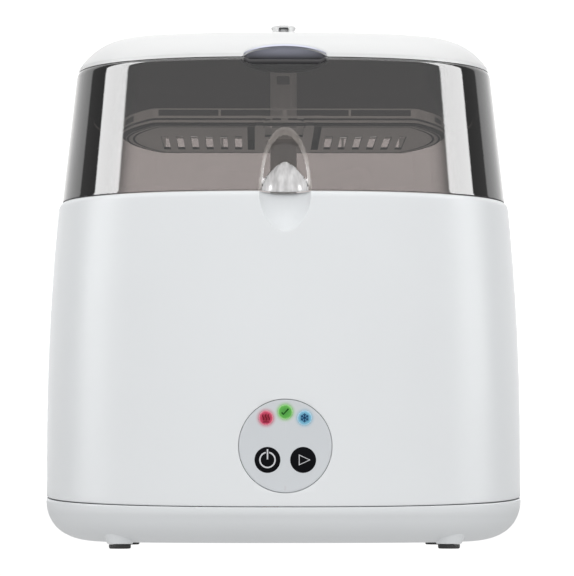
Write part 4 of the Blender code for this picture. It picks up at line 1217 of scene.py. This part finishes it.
def flange_reach(angle):
    """How far the window's top flange reaches inward: far under the cap's front, little under the skirt."""
    back = smooth((math.sin(angle) + 0.1) / 0.6)
    return 9.0 - 6.4 * back


def dome_point(angle, run, inset):
    """A point on the cap: run is the way along its profile from the arc's foot, negative down the skirt."""
    edge = lid_half_width(CAP_EDGE_Z)
    if run <= 0:
        z = CAP_EDGE_Z + run
        return (*section(angle, lid_half_width(z) - inset), z)
    start = math.sin(CAP_ARC_START)
    reach = math.cos(CAP_ARC_START)
    bend = CAP_ARC_START + run / CAP_ARC
    inward = CAP_ARC * (reach - math.cos(bend))
    part = inward / (CAP_ARC * reach)
    half_depth = (edge - WIDTH_LESS_DEPTH) * (1 - part) + CROWN_HALF_DEPTH * part
    shrink = inset * math.cos(bend)
    x, y = on_oval(angle, edge - inward - shrink, half_depth - shrink)
    return x, y, CAP_EDGE_Z + CAP_ARC * (math.sin(bend) - start) - inset * math.sin(bend)


ARC_RUN = (math.pi / 2 - CAP_ARC_START) * CAP_ARC
CAP_LIP = ((0.0, 1.3), (0.25, 0.95), (1.6, 0.55), (2.3, 0.12), (2.9, 0.0))  # along the profile and inward


def cap_start(angle):
    """Where the cap's profile starts: at its edge, down the rear skirt, or up over the grip's arch."""
    x, y = section(angle, lid_half_width(CAP_EDGE_Z))
    if y > 0:
        return cap_edge_z(y) - CAP_EDGE_Z
    arch = 1 - (x / POCKET[0]) ** 2
    if arch <= 0:
        return 0.0
    rise = POCKET_Z + POCKET[2] * math.sqrt(arch) - CAP_EDGE_Z
    if rise <= 0:
        return 0.0
    bend = math.asin(min(math.sin(CAP_ARC_START) + rise / CAP_ARC, 1.0))
    return (bend - CAP_ARC_START) * CAP_ARC


def cap_ring(columns, part, inset):
    """A ring of the cap part of the way from its lip to its crown."""
    ring = []
    for angle, start in columns:
        lip = start + CAP_LIP[-1][0]
        ring.append(dome_point(angle, lip + (ARC_RUN - lip) * part, inset))
    return ring


def lid_cap():
    """The white cap: a deeper skirt behind, an arch over the grip, a soft lower lip and a low crown."""
    columns = [(angle, cap_start(angle)) for angle in ANGLES]
    steps = 26
    outer = []
    for along, inset in CAP_LIP:
        outer.append([dome_point(angle, start + along, inset) for angle, start in columns])
    for step in range(1, steps + 1):
        outer.append(cap_ring(columns, step / steps, 0.0))
    top = outer[-1]
    for scale in (0.85, 0.6, 0.35, 0.1):
        outer.append([(x * scale, y * scale, z + CROWN * (1 - scale * scale)) for x, y, z in top])
    under = [dome_point(a, ARC_RUN, LID_WALL) for a in ANGLES]
    inner = []
    for scale in (0.1, 0.5):
        inner.append([(x * scale, y * scale, z + CROWN * (1 - scale * scale)) for x, y, z in under])
    for step in range(steps, -1, -2):
        inner.append(cap_ring(columns, step / steps, LID_WALL))
    inner.append([dome_point(angle, start, LID_WALL - 0.3) for angle, start in columns])
    # The cap's inside faces take the dark grey of painted shade.
    cap = new_object("cap_shell", two_skins(outer, inner, material_inside=1), CAP_WHITE, crease=50.0)
    cap.data.materials.append(CAP_INSIDE_SHADE)
    return place(cap, "lid", "white", "lid_cap")


def grip_pocket():
    """The bowl behind the cap's arch: half of it shows through the arch and half through the smoke."""
    half_width, depth, height = POCKET
    front = lid_half_width(POCKET_Z) - WIDTH_LESS_DEPTH
    wall = 1.1
    steps = 14
    rings = []
    for order, grow in ((range(steps + 1), 0.0), (range(steps, -1, -1), wall)):
        for step in order:
            out = math.pi / 2 * step / steps
            radial = max(math.sin(out), 0.02)
            ring = []
            for i in range(96):
                turn = FULL_TURN * i / 96
                x = (half_width + grow - 0.5) * radial * math.cos(turn)
                z = POCKET_Z + (height + grow - 0.5) * radial * math.sin(turn)
                y = -front + 1.6 + (depth + grow - 2.0) * math.cos(out)
                bow = skin_y(x, lid_half_width(POCKET_Z)) + front
                lean = max(z - CAP_EDGE_Z, 0.0) * 0.55
                ring.append((x, y + (bow + lean) * math.sin(out), z))
            rings.append(ring)
    bowl = skin(rings, cap_start=True, cap_end=True)
    return place(new_object("grip_bowl", bowl, POCKET_PAINTED_SMOKE, crease=60.0), "lid", "smoke")


def vent():
    """The steam outlet: a ported collar round a grey valve core."""
    low, high = span("vent_collar")
    radius = radius_of("vent_collar")
    foot, top = low.z, high.z
    outline = [(5.4, foot), (radius, foot), (radius, foot + 0.5), (radius, top - 0.9),
               (radius - 0.25, top - 0.3), (radius - 0.8, top), (0.0, top), (0.0, top - 1.4),
               (5.4, top - 1.4), (5.4, foot)]
    collar = new_object("vent_cap", spun(outline, sides=64), CAP_WHITE)
    for x, y in ((3.2, 20.0), (20.0, 3.2)):
        combine(collar, blocks([(-x, x, -y, y, foot + 3.0, top - 1.6)], 0.8))
    soften(collar, 0.15, 1, 50.0, crease=35.0)
    place(collar, "lid", "liner", "vent_collar")
    low, high = span("vent_valve")
    radius = radius_of("vent_valve")
    outline = [(0.0, low.z), (2.8, low.z), (2.8, foot), (radius - 0.4, foot), (radius, foot + 0.4),
               (radius, high.z - 1.0), (radius - 0.6, high.z - 0.2), (0.0, high.z)]
    valve = new_object("valve_core", spun(outline, sides=48), VALVE)
    place(valve, "lid", "valve", "vent_valve")


# ---------------------------------------------------------------- the rest of the frame keeps its shape

def finish_nodes():
    """Procedural finishes for the CAD nodes that stay."""
    finishes = {
        "liner": SATIN, "rack": RACK, "white": WHITE, "steel": STEEL, "black_plastic": BLACK_SATIN,
        "rubber": RUBBER, "led": LED_WHITE, "valve": VALVE, "board": BOARD_GREEN, "lead": SLEEVE,
        "panel": PANEL, "button": BUTTON_BLACK, "smoke": SMOKE,
        "lens_red": LED_WHITE, "lens_green": LED_WHITE, "lens_blue": LED_WHITE,
    }
    for row in frame["record"]["subparts"]:
        node = frame["nodes"][row["node"]]
        for slot in node.material_slots:
            slot.material = finishes[row["material_slot"]]
        if not node.material_slots:
            node.data.materials.append(finishes[row["material_slot"]])


# ---------------------------------------------------------------- stage, light and camera

def floor_white():
    """A sweep that is clear white in the picture, as if burnt out, and lends the object a softer light."""
    made, tree, coordinates = material("light_table")
    grain = noise(tree, coordinates, 3.0, 2.0)
    seen = add_node(tree, "ShaderNodeLightPath").outputs["Is Camera Ray"]
    glow = maths(tree, "MULTIPLY_ADD", seen, FLOOR_SEEN - FLOOR_LIGHT, FLOOR_LIGHT)
    strength = maths(tree, "MULTIPLY_ADD", grain, 0.02, glow)
    finish_with(tree, add_node(tree, "ShaderNodeEmission", {"Strength": strength}).outputs[0])
    return made


def stage():
    bm = bmesh.new()
    bmesh.ops.create_grid(bm, x_segments=24, y_segments=24, size=7000.0)
    new_object("floor", bm, floor_white())


SIDE_LIGHT = (math.radians(66), math.radians(91))
REAR_SWEEP = math.radians(114)
FORE = math.radians(80)
OVER_LIGHT = math.radians(48)
# Strengths of the even light and of each panel: what gloss mirrors, and what falls on everything else.
SHINE = {"all": 0.45, "side": 11.5, "rear": 1.5, "over": 2.0, "fore": 0.8}
SOFT = {"all": 0.1, "side": 0.25, "over": 0.55, "fore": 1.34}
BACKDROP = 2.0
FLOOR_LIGHT = 0.60
FLOOR_SEEN = 1.05


def world_light():
    """A white sweep behind, tall light panels at both sides, a broad panel overhead and a soft front."""
    world = bpy.data.worlds.new("studio")
    bpy.context.scene.world = world
    world.use_nodes = True
    tree = world.node_tree
    tree.nodes.clear()
    direction = add_node(tree, "ShaderNodeTexCoord").outputs["Generated"]
    x, y, z = add_node(tree, "ShaderNodeSeparateXYZ", {0: direction}).outputs
    squares = maths(tree, "ADD", maths(tree, "MULTIPLY", x, x), maths(tree, "MULTIPLY", y, y))
    level = maths(tree, "SQRT", squares)
    azimuth = maths(tree, "ARCTAN2", maths(tree, "ABSOLUTE", x), maths(tree, "MULTIPLY", y, -1.0))
    elevation = maths(tree, "ARCTAN2", z, level)

    def between(value, low, high, edge):
        over_low = ease(tree, value, low - edge, low + edge)
        return maths(tree, "MULTIPLY", over_low, ease(tree, value, high + edge, high - edge))

    tall = between(elevation, -0.6, 0.9, 0.05)
    panels = {
        "side": maths(tree, "MULTIPLY", between(azimuth, *SIDE_LIGHT, 0.02), tall),
        "rear": between(azimuth, REAR_SWEEP, 4.0, 0.03),
        "over": between(elevation, OVER_LIGHT, 2.0, 0.10),
        "fore": between(azimuth, -1.0, FORE, 0.2),
    }

    def light(strengths):
        total = strengths["all"]
        for name, shape in panels.items():
            if name in strengths:
                total = maths(tree, "MULTIPLY_ADD", shape, strengths[name], total)
        return add_node(tree, "ShaderNodeBackground", {"Strength": total}).outputs[0]

    path = add_node(tree, "ShaderNodeLightPath")
    lit = mix_shaders(tree, path.outputs["Is Glossy Ray"], light(SOFT), light(SHINE))
    seen = add_node(tree, "ShaderNodeBackground", {"Strength": BACKDROP}).outputs[0]
    both = mix_shaders(tree, path.outputs["Is Camera Ray"], lit, seen)
    add_node(tree, "ShaderNodeOutputWorld", {"Surface": both})


def camera():
    data = bpy.data.cameras.new("camera")
    data.sensor_width = 36.0
    data.lens = 171.56
    data.clip_end = 100.0
    obj = bpy.data.objects.new("camera", data)
    obj.location = (-0.01838, -1.7549, 0.0371)
    obj.rotation_euler = (math.radians(90 + 4.167), 0.0, -math.radians(0.6735))
    bpy.context.scene.collection.objects.link(obj)
    bpy.context.scene.camera = obj


bpy.context.scene.view_settings.view_transform = "Standard"
camera()
stage()
world_light()
finish_nodes()
base_housing()
base_pan()
foot_pads()
base_screws()
chamber_tub()
heater()
control_panel()
push_buttons()
lamp_lenses()
lower_rack()
rack_post()
upper_tray()
lid_window()
grip_pocket()
lid_cap()
vent()
